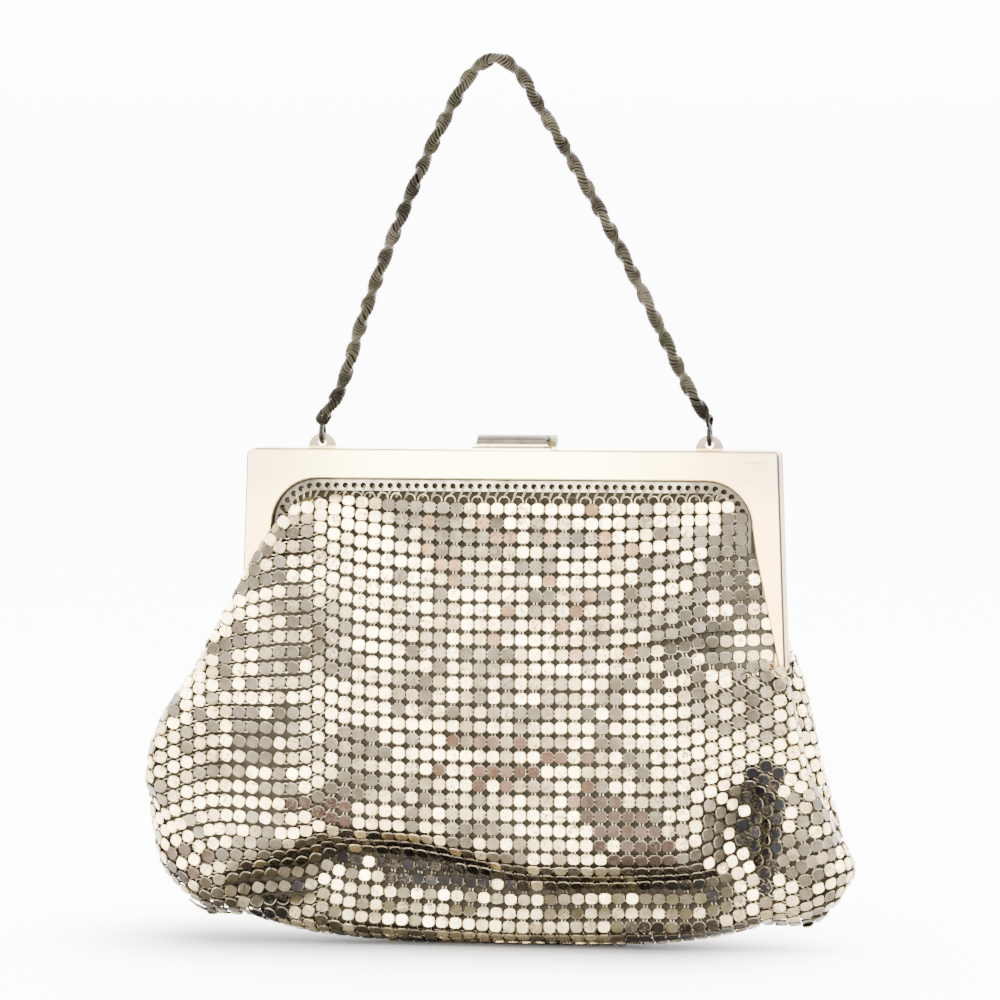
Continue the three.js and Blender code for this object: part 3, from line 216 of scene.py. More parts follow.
# Patches of plates that have another colour: copper wear, and painted shade and painted reflection in the grey
# bands, the slate and olive plates of the valleys and creases, the rosy plates, a rosy tone darkened by
# painted shade, and the dark plates over the foot. Each is a line with ends as shares of the reach and the
# drop, its half width in millimetres, the colour and how many of the plates near the line take it
WEAR_AND_PAINTED_SHADE_PATCHES = (
    # Painted shade and painted reflection: all but the copper wear patches darken plates for the dark
    # surroundings they mirror and the shade in the folds.
    ("grey band, right", 0.68, 0.18, 0.53, 0.42, 5.0, (0.052, 0.046, 0.034), 0.85),
    ("grey band, left", -0.74, 0.39, -0.67, 0.58, 4.5, (0.062, 0.05, 0.037), 0.6),
    ("grey band, upper left", -0.73, 0.16, -0.68, 0.24, 4.5, (0.06, 0.053, 0.04), 0.6),
    ("copper wear, top", -0.2, 0.17, 0.3, 0.2, 7.0, (0.16, 0.088, 0.046), 0.14),
    ("copper wear, middle", -0.1, 0.3, 0.25, 0.38, 8.0, (0.14, 0.085, 0.048), 0.13),
    ("copper wear, low", -0.12, 0.62, 0.2, 0.66, 5.0, (0.06, 0.035, 0.024), 0.3),
    ("rosy plates under the bulge", 0.3, 0.74, 0.46, 0.83, 4.8, (0.03, 0.0195, 0.0155), 0.85),
    ("rosy plates, left valley", -0.59, 0.71, -0.44, 0.73, 2.4, (0.03, 0.018, 0.0145), 0.85),
    ("rosy plates, lower left", -0.9, 0.84, -0.72, 0.87, 3.5, (0.05, 0.033, 0.026), 0.45),
    ("olive slope, left", -0.477, 0.805, -0.79, 0.92, 3.3, (0.052, 0.044, 0.029), 0.92),
    ("slate plates, left valley", -0.442, 0.81, -0.127, 0.853, 4.0, (0.0085, 0.008, 0.0077), 0.96),
    ("slate plates, middle", -0.127, 0.853, 0.05, 0.862, 2.2, (0.009, 0.0085, 0.0082), 0.9),
    ("olive slope, middle", 0.03, 0.873, 0.31, 0.877, 2.0, (0.03, 0.026, 0.017), 0.9),
    ("olive plates, low crease", 0.31, 0.878, 0.63, 0.868, 2.2, (0.052, 0.045, 0.03), 0.9),
    ("slate plates, low valley", 0.42, 0.853, 0.59, 0.875, 2.4, (0.012, 0.0112, 0.0105), 0.88),
    ("slate plates, left edge", -0.93, 0.855, -0.905, 0.865, 1.9, (0.012, 0.0115, 0.0105), 0.9),
    ("slate plates, lower left", -0.6, 0.905, -0.71, 0.975, 3.0, (0.0095, 0.009, 0.0088), 0.85),
    ("olive slope, right", 0.574, 0.81, 0.68, 0.7, 3.2, (0.03, 0.026, 0.018), 0.85),
    ("slate plates, right valley", 0.745, 0.66, 0.738, 0.825, 3.8, (0.0072, 0.0072, 0.0076), 0.97),
    ("dark plates over the foot", 0.35, 0.962, 0.9, 0.955, 1.6, (0.022, 0.019, 0.0145), 0.8),
)


def at_place(points):
    """Purse millimetres to metres of the frame."""
    return (np.asarray(points, float) + PURSE_AT) * MM


# Bag surface

def smooth(start, end, value):
    t = np.clip((value - start) / (end - start), 0.0, 1.0)
    return t * t * (3 - 2 * t)


def eased(table, columns, at):
    """Every column of a table at the heights asked for, by a curve that never overshoots its rows."""
    rows = np.array(table, float)
    xs = rows[:, 0]
    steps = np.diff(xs)
    i = np.clip(np.searchsorted(xs, at, side="left"), 1, len(xs) - 1)
    t = (at - xs[i - 1]) / steps[i - 1]
    found = {}
    for number, name in enumerate(columns):
        ys = rows[:, number]
        slopes = np.diff(ys) / steps
        middle = np.zeros(len(xs))
        product = slopes[:-1] * slopes[1:]
        total = slopes[:-1] + slopes[1:]
        middle[1:-1] = np.where(product > 0, 2 * product / np.where(total == 0, 1, total), 0)
        m0 = middle[i - 1] * steps[i - 1]
        m1 = middle[i] * steps[i - 1]
        t2 = t * t
        t3 = t2 * t
        values = (2 * t3 - 3 * t2 + 1) * ys[i - 1] + (3 * t2 - 2 * t3) * ys[i]
        found[name] = values + (t3 - 2 * t2 + t) * m0 + (t3 - t2) * m1
    return found


def outer_half_at(z):
    return TOP_HALF + (FOOT_HALF - TOP_HALF) * (-z / FRAME_DROP)


def inner_half_at(z):
    shoulder = outer_half_at(-SHOULDER_DROP) - ARM_WIDTH
    corner = INNER_TOP_HALF + INNER_CORNER
    upper = corner + (shoulder - corner) * np.maximum(0, (-z - CORNER_DROP) / (SHOULDER_DROP - CORNER_DROP))
    taper = np.minimum(1, (-z - SHOULDER_DROP) / (FRAME_DROP - SHOULDER_DROP))
    lower = shoulder + (FOOT_HALF - ARM_TIP_WIDTH - shoulder) * taper
    return np.where(z > -SHOULDER_DROP, upper, lower)


def top_z(share):
    radius = INNER_CORNER - RAIL_SHOWN
    over = np.clip(np.abs(share) * MOUTH_HALF - INNER_TOP_HALF, 0, radius)
    return MOUTH_Z - (radius - np.sqrt(radius * radius - over * over))


def bottom_z(share):
    return -BAG_DROP + BAG_CORNER_RISE * np.abs(share) ** BAG_CORNER_POWER


def lobe_reach(side, spread):
    reach = BAG_LEFT_REACH if side < 0 else BAG_RIGHT_REACH
    return MOUTH_HALF + (reach - MOUTH_HALF) * spread


def tuck_reach(z, share, lobe):
    beside_arm = inner_half_at(z) - GAP
    beside_rail = np.where(z > -SHOULDER_DROP - BELOW_RAIL, MOUTH_HALF, np.inf)
    lower = smooth(-SHOULDER_DROP, -SHOULDER_DROP - BELOW_SHOULDER, z)
    inside = np.minimum(beside_arm + (HINGE_CLEAR - beside_arm) * lower, beside_rail)
    below = smooth(0, BELOW_ARMS, -FRAME_DROP - GAP - z)
    return inside + np.maximum(0, lobe - inside) * share * below


def line_place(x, z, start, end):
    """Share along a line whose ends are shares of the reach and the drop, distance to it, and whether
    it is above the line."""
    def reach(share):
        return (BAG_LEFT_REACH if share < 0 else BAG_RIGHT_REACH) * share
    ax, az = reach(start[0]), -BAG_DROP * start[1]
    dx, dz = reach(end[0]) - ax, -BAG_DROP * end[1] - az
    along = np.clip(((x - ax) * dx + (z - az) * dz) / (dx * dx + dz * dz), 0, 1)
    return along, np.hypot(x - ax - dx * along, z - az - dz * along), (z - az) * dx - (x - ax) * dz > 0


def fold_stretch(x, z, start, end):
    """How far one stretch of a fold moves the front, in millimetres."""
    along, distance, above = line_place(x, z, start, end)
    wide = np.where(above, start[3] + (end[3] - start[3]) * along, start[4] + (end[4] - start[4]) * along)
    away = distance / (BAG_DROP * wide)
    return (start[2] + (end[2] - start[2]) * along) * BAG_DEPTH * np.exp(-away * away)


def fold_depth(x, z):
    """The deepest of the valleys and the highest of the swells at each place, in millimetres."""
    found = [fold_stretch(x, z, start, end)
             for _, points in FRONT_FOLDS for start, end in zip(points, points[1:])]
    return np.minimum(0, np.min(found, axis=0)) + np.maximum(0, np.max(found, axis=0))


def fitted_fold(pushed, room):
    """The part of a fold's depth that a place has room for."""
    least = np.maximum(room, FOLD_LEAST_ROOM)
    held = pushed / (1 + np.abs(pushed / least) ** FOLD_ROOM_POWER) ** (1 / FOLD_ROOM_POWER)
    return np.where(pushed < 0, held, pushed)


def side_points(side, reach, tuck, fold, depth, gap, side_reach):
    """Points of one side for every level, from the gusset's middle round to a face."""
    angles = np.radians(CORNER_ANGLES)
    round_x = reach[:, None] - side_reach[:, None] * (1 - np.cos(angles))
    round_y = depth[:, None] * np.sin(angles)
    fold_x = np.stack([np.maximum(tuck, tuck + (reach - tuck) * out - FOLD_REACH * less)
                       for out, less, _, _ in FOLD_SECTION], axis=1)
    fold_y = np.stack([gap * g + depth * d for _, _, g, d in FOLD_SECTION], axis=1)
    x = round_x + (fold_x - round_x) * fold[:, None]
    y = round_y + (fold_y - round_y) * fold[:, None]
    short = np.maximum(0, round_x[:, 0] - x.max(axis=1))
    return side * (x + short[:, None]), y


def crowned(s, start, middle, end, crown):
    return middle + (start - middle) * (1 - s) ** crown + (end - middle) * s ** crown


def bag_rings(at, across_front, across_back):
    """Closed rings of the bag's outside at the heights asked for, with each point's share across."""
    row = {**eased(OUTLINE, OUTLINE_COLUMNS, at), **eased(GUSSETS, GUSSET_COLUMNS, at),
           **eased(DEPTHS, DEPTH_COLUMNS, at)}
    side_top, side_bottom = top_z(1.0), bottom_z(1.0)
    z = side_top + (side_bottom - side_top) * at
    gap = row["gap"] * FRAME_HALF_DEPTH
    reach_l = np.maximum(lobe_reach(-1, row["lf"]), lobe_reach(-1, row["lb"]))
    reach_r = np.maximum(lobe_reach(1, row["rf"]), lobe_reach(1, row["rb"]))
    tuck_l = tuck_reach(z, row["tuck_l"], reach_l)
    tuck_r = tuck_reach(z, row["tuck_r"], reach_r)
    side_reach = MOUTH_SIDE_REACH + (SIDE_REACH - MOUTH_SIDE_REACH) * smooth(SIDE_FROM, SIDE_TO, at)

    def quarter(side, spread, tuck, fold, depth):
        reach = np.maximum(tuck, lobe_reach(side, spread))
        x, y = side_points(side, reach, tuck, fold, depth * BAG_DEPTH, gap, side_reach)
        return x, y, tuck * fold + reach * (1 - fold)

    lf = quarter(-1, row["lf"], tuck_l, row["fold_l"], row["fl"])
    lb = quarter(-1, row["lb"], tuck_l, row["fold_l"], row["bl"])
    rf = quarter(1, row["rf"], tuck_r, row["fold_rf"], row["fr"])
    rb = quarter(1, row["rb"], tuck_r, row["fold_rb"], row["br"])
    xs, ys, shares = [], [], []

    def put(x, y, share):
        xs.append(x)
        ys.append(y)
        shares.append(share)

    def face(start, end, count, middle, sign, turned):
        for i in range(1, count + 1):
            s = i / (count + 1)
            x = start[0][:, 4] + (end[0][:, 4] - start[0][:, 4]) * s
            y = sign * crowned(s, start[1][:, 4], middle * BAG_DEPTH, end[1][:, 4], row["crown"])
            put(x, y, (1 - 2 * s) if turned else (2 * s - 1))

    def side(part, sign, share, order):
        for i in order:
            put(part[0][:, i], sign * part[1][:, i], share)

    outwards, inwards = range(5), range(4, -1, -1)
    nothing = np.zeros(len(at))
    put(-(lf[2] + lb[2]) / 2, nothing, -1.0)
    side(lf, -1, -1.0, outwards)
    face(lf, rf, across_front, row["fm"], -1, False)
    side(rf, -1, 1.0, inwards)
    put((rf[2] + rb[2]) / 2, nothing, 1.0)
    side(rb, 1, 1.0, outwards)
    face(rb, lb, across_back, row["bm"], 1, True)
    side(lb, 1, -1.0, inwards)
    share = np.array(shares)
    x = np.stack(xs, axis=1)
    y = np.stack(ys, axis=1)
    top, bottom = top_z(share)[None, :], bottom_z(share)[None, :]
    z = top + (bottom - top) * at[:, None]
    on_face = np.maximum(0, 1 - np.abs(share) ** FOLD_EDGE_POWER)[None, :]
    pushed = fold_depth(x, z) * on_face * smooth(1, 1 - FOLD_END, at)[:, None]
    y = np.where(y < 0, y - fitted_fold(pushed, -y - FOLD_FLOOR), y)
    return np.stack([x, y, z], axis=2)


ACROSS_FRONT = 41
ACROSS_BACK = 27
RING_TURN = 2 * len(CORNER_ANGLES) + ACROSS_FRONT + 1
ROUNDS = 5


def rounded_rings(rings):
    """Catmull-Rom curves through the points of closed rings."""
    before, after, last = np.roll(rings, 1, 1), np.roll(rings, -1, 1), np.roll(rings, -2, 1)
    parts = []
    for k in range(ROUNDS):
        t = k / ROUNDS
        a = -0.5 * t ** 3 + t ** 2 - 0.5 * t
        b = 1.5 * t ** 3 - 2.5 * t ** 2 + 1
        c = -1.5 * t ** 3 + 2 * t ** 2 + 0.5 * t
        d = 0.5 * t ** 3 - 0.5 * t ** 2
        parts.append(a * before + b * rings + c * after + d * last)
    return np.stack(parts, axis=2).reshape(rings.shape[0], -1, 3)


# Shares of the last ring's depth that close the bottom, and how far it sinks there
CLOSING = (0.72, 0.45, 0.22, 0.0)
CLOSING_DROP = 0.25


def bag_surface(levels):
    """Dense rings from the mouth to the closed bottom."""
    at = np.concatenate([np.linspace(0, 0.12, levels // 4, endpoint=False),
                         np.linspace(0.12, 0.9, levels // 2, endpoint=False),
                         np.linspace(0.9, 1.0, levels // 4)])
    rings = rounded_rings(bag_rings(at, ACROSS_FRONT, ACROSS_BACK))
    last = rings[-1]
    closing = []
    for share in CLOSING:
        ring = last.copy()
        ring[:, 1] *= share
        ring[:, 2] -= CLOSING_DROP * math.sqrt(1 - share * share)
        closing.append(ring)
    return np.concatenate([rings, np.stack(closing)], axis=0)


# How far to either side, in steps, the row numbers are evened out
ROW_BLUR = 34

# How many levels the front's surface runs on under the bottom and up the back
UNDER_LEVELS = 20


class Side:
    """One face of the bag, unrolled: step across at every level against the distance along the ring."""

    def __init__(self, rings, front, step, reach):
        turn = RING_TURN * ROUNDS
        if front:
            half = rings[:, :turn + 1]
        else:
            half = np.concatenate([rings[:, turn:], rings[:, :1]], axis=1)[:, ::-1]
        lengths = np.linalg.norm(np.diff(half, axis=1), axis=2)
        run = np.concatenate([np.zeros((len(half), 1)), np.cumsum(lengths, axis=1)], axis=1)
        self.steps = np.arange(-reach, reach + 1)
        across = self.steps * step
        self.grid = np.full((len(half), len(across), 3), np.nan)
        middle = half.shape[1] // 2
        for k in range(len(half)):
            window = slice(middle - 60, middle + 60)
            zero = np.interp(0.0, half[k, window, 0], run[k, window])
            inside = (across + zero >= 0) & (across + zero <= run[k, -1])
            for axis in range(3):
                self.grid[k, inside, axis] = np.interp(across[inside] + zero, run[k], half[k, :, axis])
        self.end = len(half) - 1
        if front:
            under = self.grid[-UNDER_LEVELS - 1:-1][::-1] * np.array([1.0, -1.0, 1.0])
            self.grid = np.concatenate([self.grid, under])
        self.rows = None

    def count_rows(self, pitch, start):
        """The row number at every level and step: 0 at the start height in the middle, one more each pitch."""
        levels, width, _ = self.grid.shape
        self.rows = np.full((levels, width), np.nan)
        centre = width // 2
        order = [centre] + [centre + i * s for i in range(1, centre + 1) for s in (1, -1)]
        for m in order:
            path = self.grid[:, m]
            valid = np.nonzero(~np.isnan(path[:, 0]))[0]
            if len(valid) < 3:
                continue
            first = valid[0]
            good = np.arange(first, valid[-1] + 1)
            good = good[~np.isnan(path[good, 0])]
            steps = np.linalg.norm(np.diff(path[good], axis=0), axis=1)
            run = np.concatenate([[0], np.cumsum(steps)]) / pitch
            if m == centre:
                at_start = np.interp(-start, -path[good, 2], run)
                self.rows[good, m] = run - at_start
                continue
            beside = m - 1 if m > centre else m + 1
            known = np.nonzero(~np.isnan(self.rows[:, beside]))[0]
            if len(known) < 3:
                continue
            heights = -self.grid[known, beside, 2]
            offset = np.interp(-path[first, 2], heights, self.rows[known, beside])
            self.rows[good, m] = run + offset
        self.even_rows(pitch, start)

    def even_rows(self, pitch, start):
        """Evens out the row numbers from column to column, so that the rows run on across the folds."""
        level = (start - self.grid[:, :, 2]) / pitch
        extra = self.rows - level
        known = ~np.isnan(extra)
        weights = np.exp(-(np.arange(-ROW_BLUR, ROW_BLUR + 1) / (ROW_BLUR / 2.2)) ** 2)
        blurred = np.full_like(extra, np.nan)
        for k in range(extra.shape[0]):
            total = np.convolve(np.where(known[k], extra[k], 0.0), weights, mode="same")
            count = np.convolve(known[k].astype(float), weights, mode="same")
            blurred[k, known[k]] = (total / np.maximum(count, 1e-6))[known[k]]
        self.rows = level + blurred

    def place(self, m, row):
        """The point at a step and a row number, or None."""
        if m < 0 or m >= self.grid.shape[1]:
            return None
        known = np.nonzero(~np.isnan(self.rows[:, m]))[0]
        if len(known) < 3:
            return None
        rows = self.rows[known, m]
        if row < rows[0] or row > rows[-1]:
            return None
        return np.array([np.interp(row, rows, self.grid[known, m, axis]) for axis in range(3)])

    def frame_at(self, m, row, outward):
        """Place, turn and normal at a step and a row number, or None."""
        middle = self.place(m, row)
        if middle is None:
            return None
        ends = [self.place(*where) for where in (
            (m - 2, row), (m + 2, row), (m, row - 0.3), (m, row + 0.3))]
        left, right, above, below = [middle if end is None else end for end in ends]
        across, down = right - left, below - above
        if np.linalg.norm(across) < 0.3 or np.linalg.norm(down) < 0.3:
            return None
        turn = turned_like(across, down, outward)
        return None if turn is None else (middle, *turn)


def turned_like(across, down, outward):
    """Rotation with Z outward and X across, as XYZ Euler angles."""
    across = across / np.linalg.norm(across)
    down = down / np.linalg.norm(down)
    normal = np.cross(down, across)
    length = np.linalg.norm(normal)
    if length < 0.2:
        return None
    normal /= length
    x_axis = across + np.cross(normal, down)
    if outward < 0:
        normal = -normal
    x_axis /= np.linalg.norm(x_axis)
    y_axis = np.cross(normal, x_axis)
    matrix = Matrix((x_axis, y_axis, normal)).transposed()
    return matrix.to_euler("XYZ"), normal


# Shader maths

class Part:
    """A socket that can be added, multiplied and so on, each time with a Math node."""

    def __init__(self, nodes, socket):
        self.nodes = nodes
        self.socket = socket

    def _math(self, operation, first, second=None):
        values = {0: first} if second is None else {0: first, 1: second}
        return self.nodes.make("ShaderNodeMath", {"operation": operation}, values)

    def __add__(self, other):
        return self._math("ADD", self, other)

    def __radd__(self, other):
        return self._math("ADD", other, self)

    def __sub__(self, other):
        return self._math("SUBTRACT", self, other)

    def __rsub__(self, other):
        return self._math("SUBTRACT", other, self)

    def __mul__(self, other):
        return self._math("MULTIPLY", self, other)

    def __rmul__(self, other):
        return self._math("MULTIPLY", other, self)

    def __pow__(self, other):
        return self._math("POWER", self, other)

    def __abs__(self):
        return self._math("ABSOLUTE", self)

    def at_least(self, other):
        return self._math("MAXIMUM", self, other)

    def clamped(self):
        return self.nodes.make("ShaderNodeClamp", {}, {"Value": self})

    def above(self, low, high):
        """0 below low, 1 above high, with a soft step between them."""
        return self.nodes.make("ShaderNodeMapRange", {"interpolation_type": "SMOOTHSTEP"},
                               {"Value": self, "From Min": low, "From Max": high})

    def between(self, low, high, soft):
        """1 between low and high, 0 outside, with soft steps."""
        return self.above(low - soft, low) * (1 - self.above(high, high + soft))


def set_stops(elements, stops):
    while len(elements) < len(stops):
        elements.new(1.0)
    for element, (position, colour) in zip(elements, stops):
        element.position = position
        element.color = (*colour, 1.0)


class Nodes:
    """The nodes of one tree."""

    def __init__(self, tree):
        self.tree = tree
        tree.nodes.clear()

    def make(self, kind, settings, values, output=0):
        """One node, from its type, its settings, and the values or links of its sockets."""
        node = self.tree.nodes.new(kind)
        for key, value in settings.items():
            if key == "stops":
                set_stops(node.color_ramp.elements, value)
            else:
                setattr(node, key, value)
        for key, value in values.items():
            socket = node.inputs[key]
            if isinstance(value, list):
                for part in value:
                    self.tree.links.new(part.socket, socket)
            elif isinstance(value, Part):
                self.tree.links.new(value.socket, socket)
            elif socket.type == "RGBA":
                socket.default_value = (*value, 1.0)
            else:
                socket.default_value = value
        return None if output is None else Part(self, node.outputs[output])


class Finish(Nodes):
    """The nodes of one material, with the textures that the finishes share."""

    def __init__(self, name):
        self.material = bpy.data.materials.new(name)
        self.material.use_nodes = True
        super().__init__(self.material.node_tree)

    def ramp(self, factor, stops):
        return self.make("ShaderNodeValToRGB", {"stops": stops}, {"Fac": factor})

    def mix(self, factor, first, second, blend="MIX"):
        return self.make("ShaderNodeMix", {"data_type": "RGBA", "blend_type": blend},
                         {0: factor, 6: first, 7: second}, 2)

    def place(self):
        return self.make("ShaderNodeTexCoord", {}, {}, "Object")

    def along(self, axis):
        """Metres along an axis from the middle of the frame's top edge."""
        start = PURSE_AT["XYZ".index(axis)] * MM
        return self.make("ShaderNodeSeparateXYZ", {}, {"Vector": self.place()}, axis) - start

    def facing(self, axis):
        normal = self.make("ShaderNodeNewGeometry", {}, {}, "Normal")
        return self.make("ShaderNodeSeparateXYZ", {}, {"Vector": normal}, axis)

    def attribute(self, name, output="Color"):
        return self.make("ShaderNodeAttribute", {"attribute_type": "GEOMETRY", "attribute_name": name},
                         {}, output)

    def noise(self, scale, detail=2.0, roughness=0.5, distortion=0.0, place=None):
        return self.make("ShaderNodeTexNoise", {}, {
            "Vector": place or self.place(), "Scale": scale, "Detail": detail,
            "Roughness": roughness, "Distortion": distortion})

    def spots(self, scale, radius, soft):
        """1 in small round spots."""
        distance = self.make("ShaderNodeTexVoronoi", {}, {"Vector": self.place(), "Scale": scale}, "Distance")
        return 1 - distance.above(radius, radius + soft)

    def stretched(self, scale, turn=(0.0, 0.0, 0.0)):
        return self.make("ShaderNodeMapping", {}, {"Vector": self.place(), "Scale": scale, "Rotation": turn})

    def bump(self, height, strength, distance):
        return self.make("ShaderNodeBump", {}, {"Height": height, "Strength": strength, "Distance": distance})

    def shader(self, sockets):
        return self.make("ShaderNodeBsdfPrincipled", {},
                         {key.replace("_", " "): value for key, value in sockets.items()})

    def finish(self, dull=None, **sockets):
        """Ends the material. dull is a factor and a colour: how much of that matt colour covers it, as painted
        shade.
        """
        shader = self.shader(sockets)
        if dull is not None:
            matt = self.shader({"Base Color": dull[1], "Roughness": 0.8, "Specular IOR Level": 0.0})
            shader = self.make("ShaderNodeMixShader", {}, {0: dull[0], 1: shader, 2: matt})
        self.make("ShaderNodeOutputMaterial", {}, {"Surface": shader}, None)
        return self.material


def plate_metal():
    """Worn plates: a face with scribbled marks, and a rim with a painted highlight that stays light where the
    face is dull.
    """
    nodes = Finish("mesh_plates")
    # The tint carries each plate's colour with its painted shade and painted reflection.
    tint = nodes.attribute("tint")
    wear = nodes.attribute("wear", "Fac")
    flat = nodes.attribute("flat", "Fac")
    scribble = nodes.noise(1050.0, 2.0, 0.55, 1.2)
    line = scribble.between(0.475, 0.525, 0.015)
    marks_here = nodes.noise(520.0, 2.0).above(0.46, 0.54)
    specks = nodes.noise(1900.0, 1.0).above(0.64, 0.69)
    marks = ((line * marks_here + specks * 0.8) * wear.above(0.25, 0.65)).clamped()
    cloud = nodes.noise(330.0, 3.0, 0.55)
    # Painted highlight: a lighter colour is added to the tint on the rim.
    rim = nodes.mix(1.0, nodes.mix(1.0, tint, (0.5, 0.46, 0.40), "MULTIPLY"), (0.10, 0.086, 0.06), "ADD")
    colour = nodes.mix(flat, rim, tint)
    colour = nodes.mix(cloud.above(0.35, 0.7) * 0.7, colour, (0.50, 0.44, 0.33), "MULTIPLY")
    colour = nodes.mix(marks * 0.9, colour, (0.055, 0.043, 0.028))
    rough = 0.2 + cloud * 0.14 + marks * 0.2
    return nodes.finish(Base_Color=colour, Metallic=1.0, Roughness=rough,
                        Normal=nodes.bump(cloud * 0.5 - marks, 0.3, 0.00006))


def ring_metal():
    nodes = Finish("mesh_rings")
    patch = nodes.noise(420.0, 2.0)
    colour = nodes.ramp(patch, ((0.35, (0.035, 0.028, 0.017)), (0.68, (0.48, 0.40, 0.25))))
    # The tint carries the rings' painted shade.
    colour = nodes.mix(1.0, colour, nodes.attribute("tint"), "MULTIPLY")
    return nodes.finish(Base_Color=colour, Metallic=1.0, Roughness=0.3 + patch * 0.1)


def link_metal():
    nodes = Finish("rail_links")
    patch = nodes.noise(240.0, 2.0)
    colour = nodes.ramp(patch, ((0.3, (0.04, 0.034, 0.022)), (0.7, (0.27, 0.225, 0.14))))
    return nodes.finish(Base_Color=colour, Metallic=1.0, Roughness=0.3 + patch * 0.1)


def edge_shade(nodes, upward, sideways):
    """1 on the front part of the faces that look up or to a side: how far back it goes on each, in mm."""
    x, y, z = nodes.facing("X"), nodes.along("Y"), nodes.facing("Z")
    front = -FRAME_HALF_DEPTH * MM

    def strip(facing, deep):
        return (facing * facing).above(0.25, 0.7) * (1 - y.above(front + deep * MM, front + deep * 1.5 * MM))

    return (strip(z, upward) + strip(x, sideways)).clamped()


def satin_frame():
    """Brushed frame, brightest in the middle of its bar, darker above its top edge at the lugs and the
    knuckle, with painted shade on its edges and a few pits.
    """
    nodes = Finish("satin_frame")
    brushed = nodes.noise(90.0, 4.0, 0.6, 0.0, nodes.stretched((1.0, 1.0, 22.0)))
    blotch = nodes.noise(45.0, 3.0, 0.55)
    fine = nodes.noise(900.0, 2.0, 0.5, 0.0, nodes.stretched((0.12, 1.0, 1.0), (0.0, 0.5, 0.0)))
    scratch = fine.above(0.68, 0.72) * blotch.above(0.52, 0.6)
    pits = nodes.spots(95.0, 0.03, 0.025)
    across, z = nodes.along("X"), nodes.along("Z")
    x = abs(across)
    ends = abs(across + 0.006).above(0.014, 0.05)
    colour = nodes.mix(ends, (1.0, 0.93, 0.44), (0.76, 0.49, 0.205))
    colour = nodes.mix(blotch.above(0.4, 0.7) * 0.35, colour, (0.74, 0.68, 0.56), "MULTIPLY")
    colour = nodes.mix(x.above(0.032, 0.05) * z.above(-0.014, -0.004) * 0.7, colour, (0.36, 0.31, 0.20))
    lug = nodes.mix(x.above(0.012, 0.014), (0.045, 0.039, 0.028), (0.11, 0.096, 0.072))
    colour = nodes.mix(z.above(0.0002, 0.0006) * 0.9, colour, lug)
    colour = nodes.mix((scratch * 0.4 + pits * 0.8).clamped(), colour, (0.10, 0.08, 0.06))
    slope = (FOOT_HALF - TOP_HALF) / FRAME_DROP
    # Painted shade: a thin dark line along the outer edge of the arms.
    rim = (x + z * slope).above((TOP_HALF - 0.32) * MM, (TOP_HALF - 0.12) * MM) * (1 - z.above(0.0, 0.0003))
    rough = 0.3 + brushed * 0.08 + blotch * 0.06
    # Painted shade: a dark matt colour covers the faces that look up or to a side and the outer edge.
    return nodes.finish(((edge_shade(nodes, 3.6, 1.6) * 0.95 + rim * 0.6).clamped(), (0.022, 0.02, 0.018)),
                        Base_Color=colour, Metallic=1.0, Roughness=rough,
                        Normal=nodes.bump(brushed * 0.3 - scratch - pits, 0.18, 0.00005))


def satin_clasp():
    """Worn clasp: a grey crown over a painted highlight band, a painted shadow line for the groove and a
    broken bright foot, with painted shade on the faces that look to a side or up.
    """
    nodes = Finish("satin_clasp")
    blotch = nodes.noise(260.0, 3.0, 0.6)
    worn = nodes.noise(620.0, 2.0, 0.6).above(0.58, 0.66)
    z = nodes.along("Z")
    colour = nodes.mix(blotch.above(0.35, 0.7), (0.054, 0.047, 0.034), (0.026, 0.023, 0.017))
    # Painted highlight: a bright band across the clasp's front.
    colour = nodes.mix(z.between(0.00066, 0.0012, 0.0001), colour, (0.6, 0.5, 0.29))
    colour = nodes.mix((1 - z.above(0.0005, 0.00058)) * worn, colour, (0.35, 0.29, 0.19))
    # Painted shadow: a thin dark line for the groove under the front lip.
    colour = nodes.mix(z.between(0.00052, 0.0006, 0.00006), colour, (0.008, 0.007, 0.005))
    colour = nodes.mix(worn * z.above(0.0024, 0.0028) * 0.7, colour, (0.01, 0.008, 0.006))
    # Painted shade: a dark matt colour covers the faces that look to a side or up.
    aside, up = nodes.facing("X"), nodes.facing("Z")
    turned = ((aside * aside).above(0.2, 0.6) + (up * up).above(0.5, 0.85) * 0.6).clamped()
    return nodes.finish((turned * 0.9, (0.03, 0.028, 0.024)),
                        Base_Color=colour, Metallic=1.0, Roughness=0.3 + blotch * 0.14,
                        Normal=nodes.bump(blotch - worn, 0.2, 0.00005))


def rail_metal():
    """Pierced rail, duller round the corners, with a painted shadow line where it goes behind the frame."""
    nodes = Finish("rail_metal")
    blotch = nodes.noise(240.0, 3.0, 0.6)
    x, z = nodes.along("X"), nodes.along("Z")
    bright = nodes.ramp(blotch, ((0.3, (0.075, 0.063, 0.04)), (0.66, (0.50, 0.42, 0.27))))
    dull = nodes.ramp(blotch, ((0.3, (0.03, 0.026, 0.018)), (0.7, (0.08, 0.069, 0.048))))
    colour = nodes.mix(abs(x).above(0.028, 0.041), bright, dull)
    # Painted shadow: a dark line just inside the opening's edge, where the rail goes behind the frame.
    over = (abs(x) - INNER_TOP_HALF * MM).at_least(0.0)
    up = (z + CORNER_DROP * MM).at_least(0.0)
    edge = (over * over + up * up) ** 0.5 - INNER_CORNER * MM
    colour = nodes.mix(edge.above(-0.0005, -0.00025) * 0.95, colour, (0.008, 0.007, 0.005))
    return nodes.finish(Base_Color=colour, Metallic=1.0, Roughness=0.36 + blotch * 0.14,
                        Normal=nodes.bump(blotch, 0.2, 0.00005))


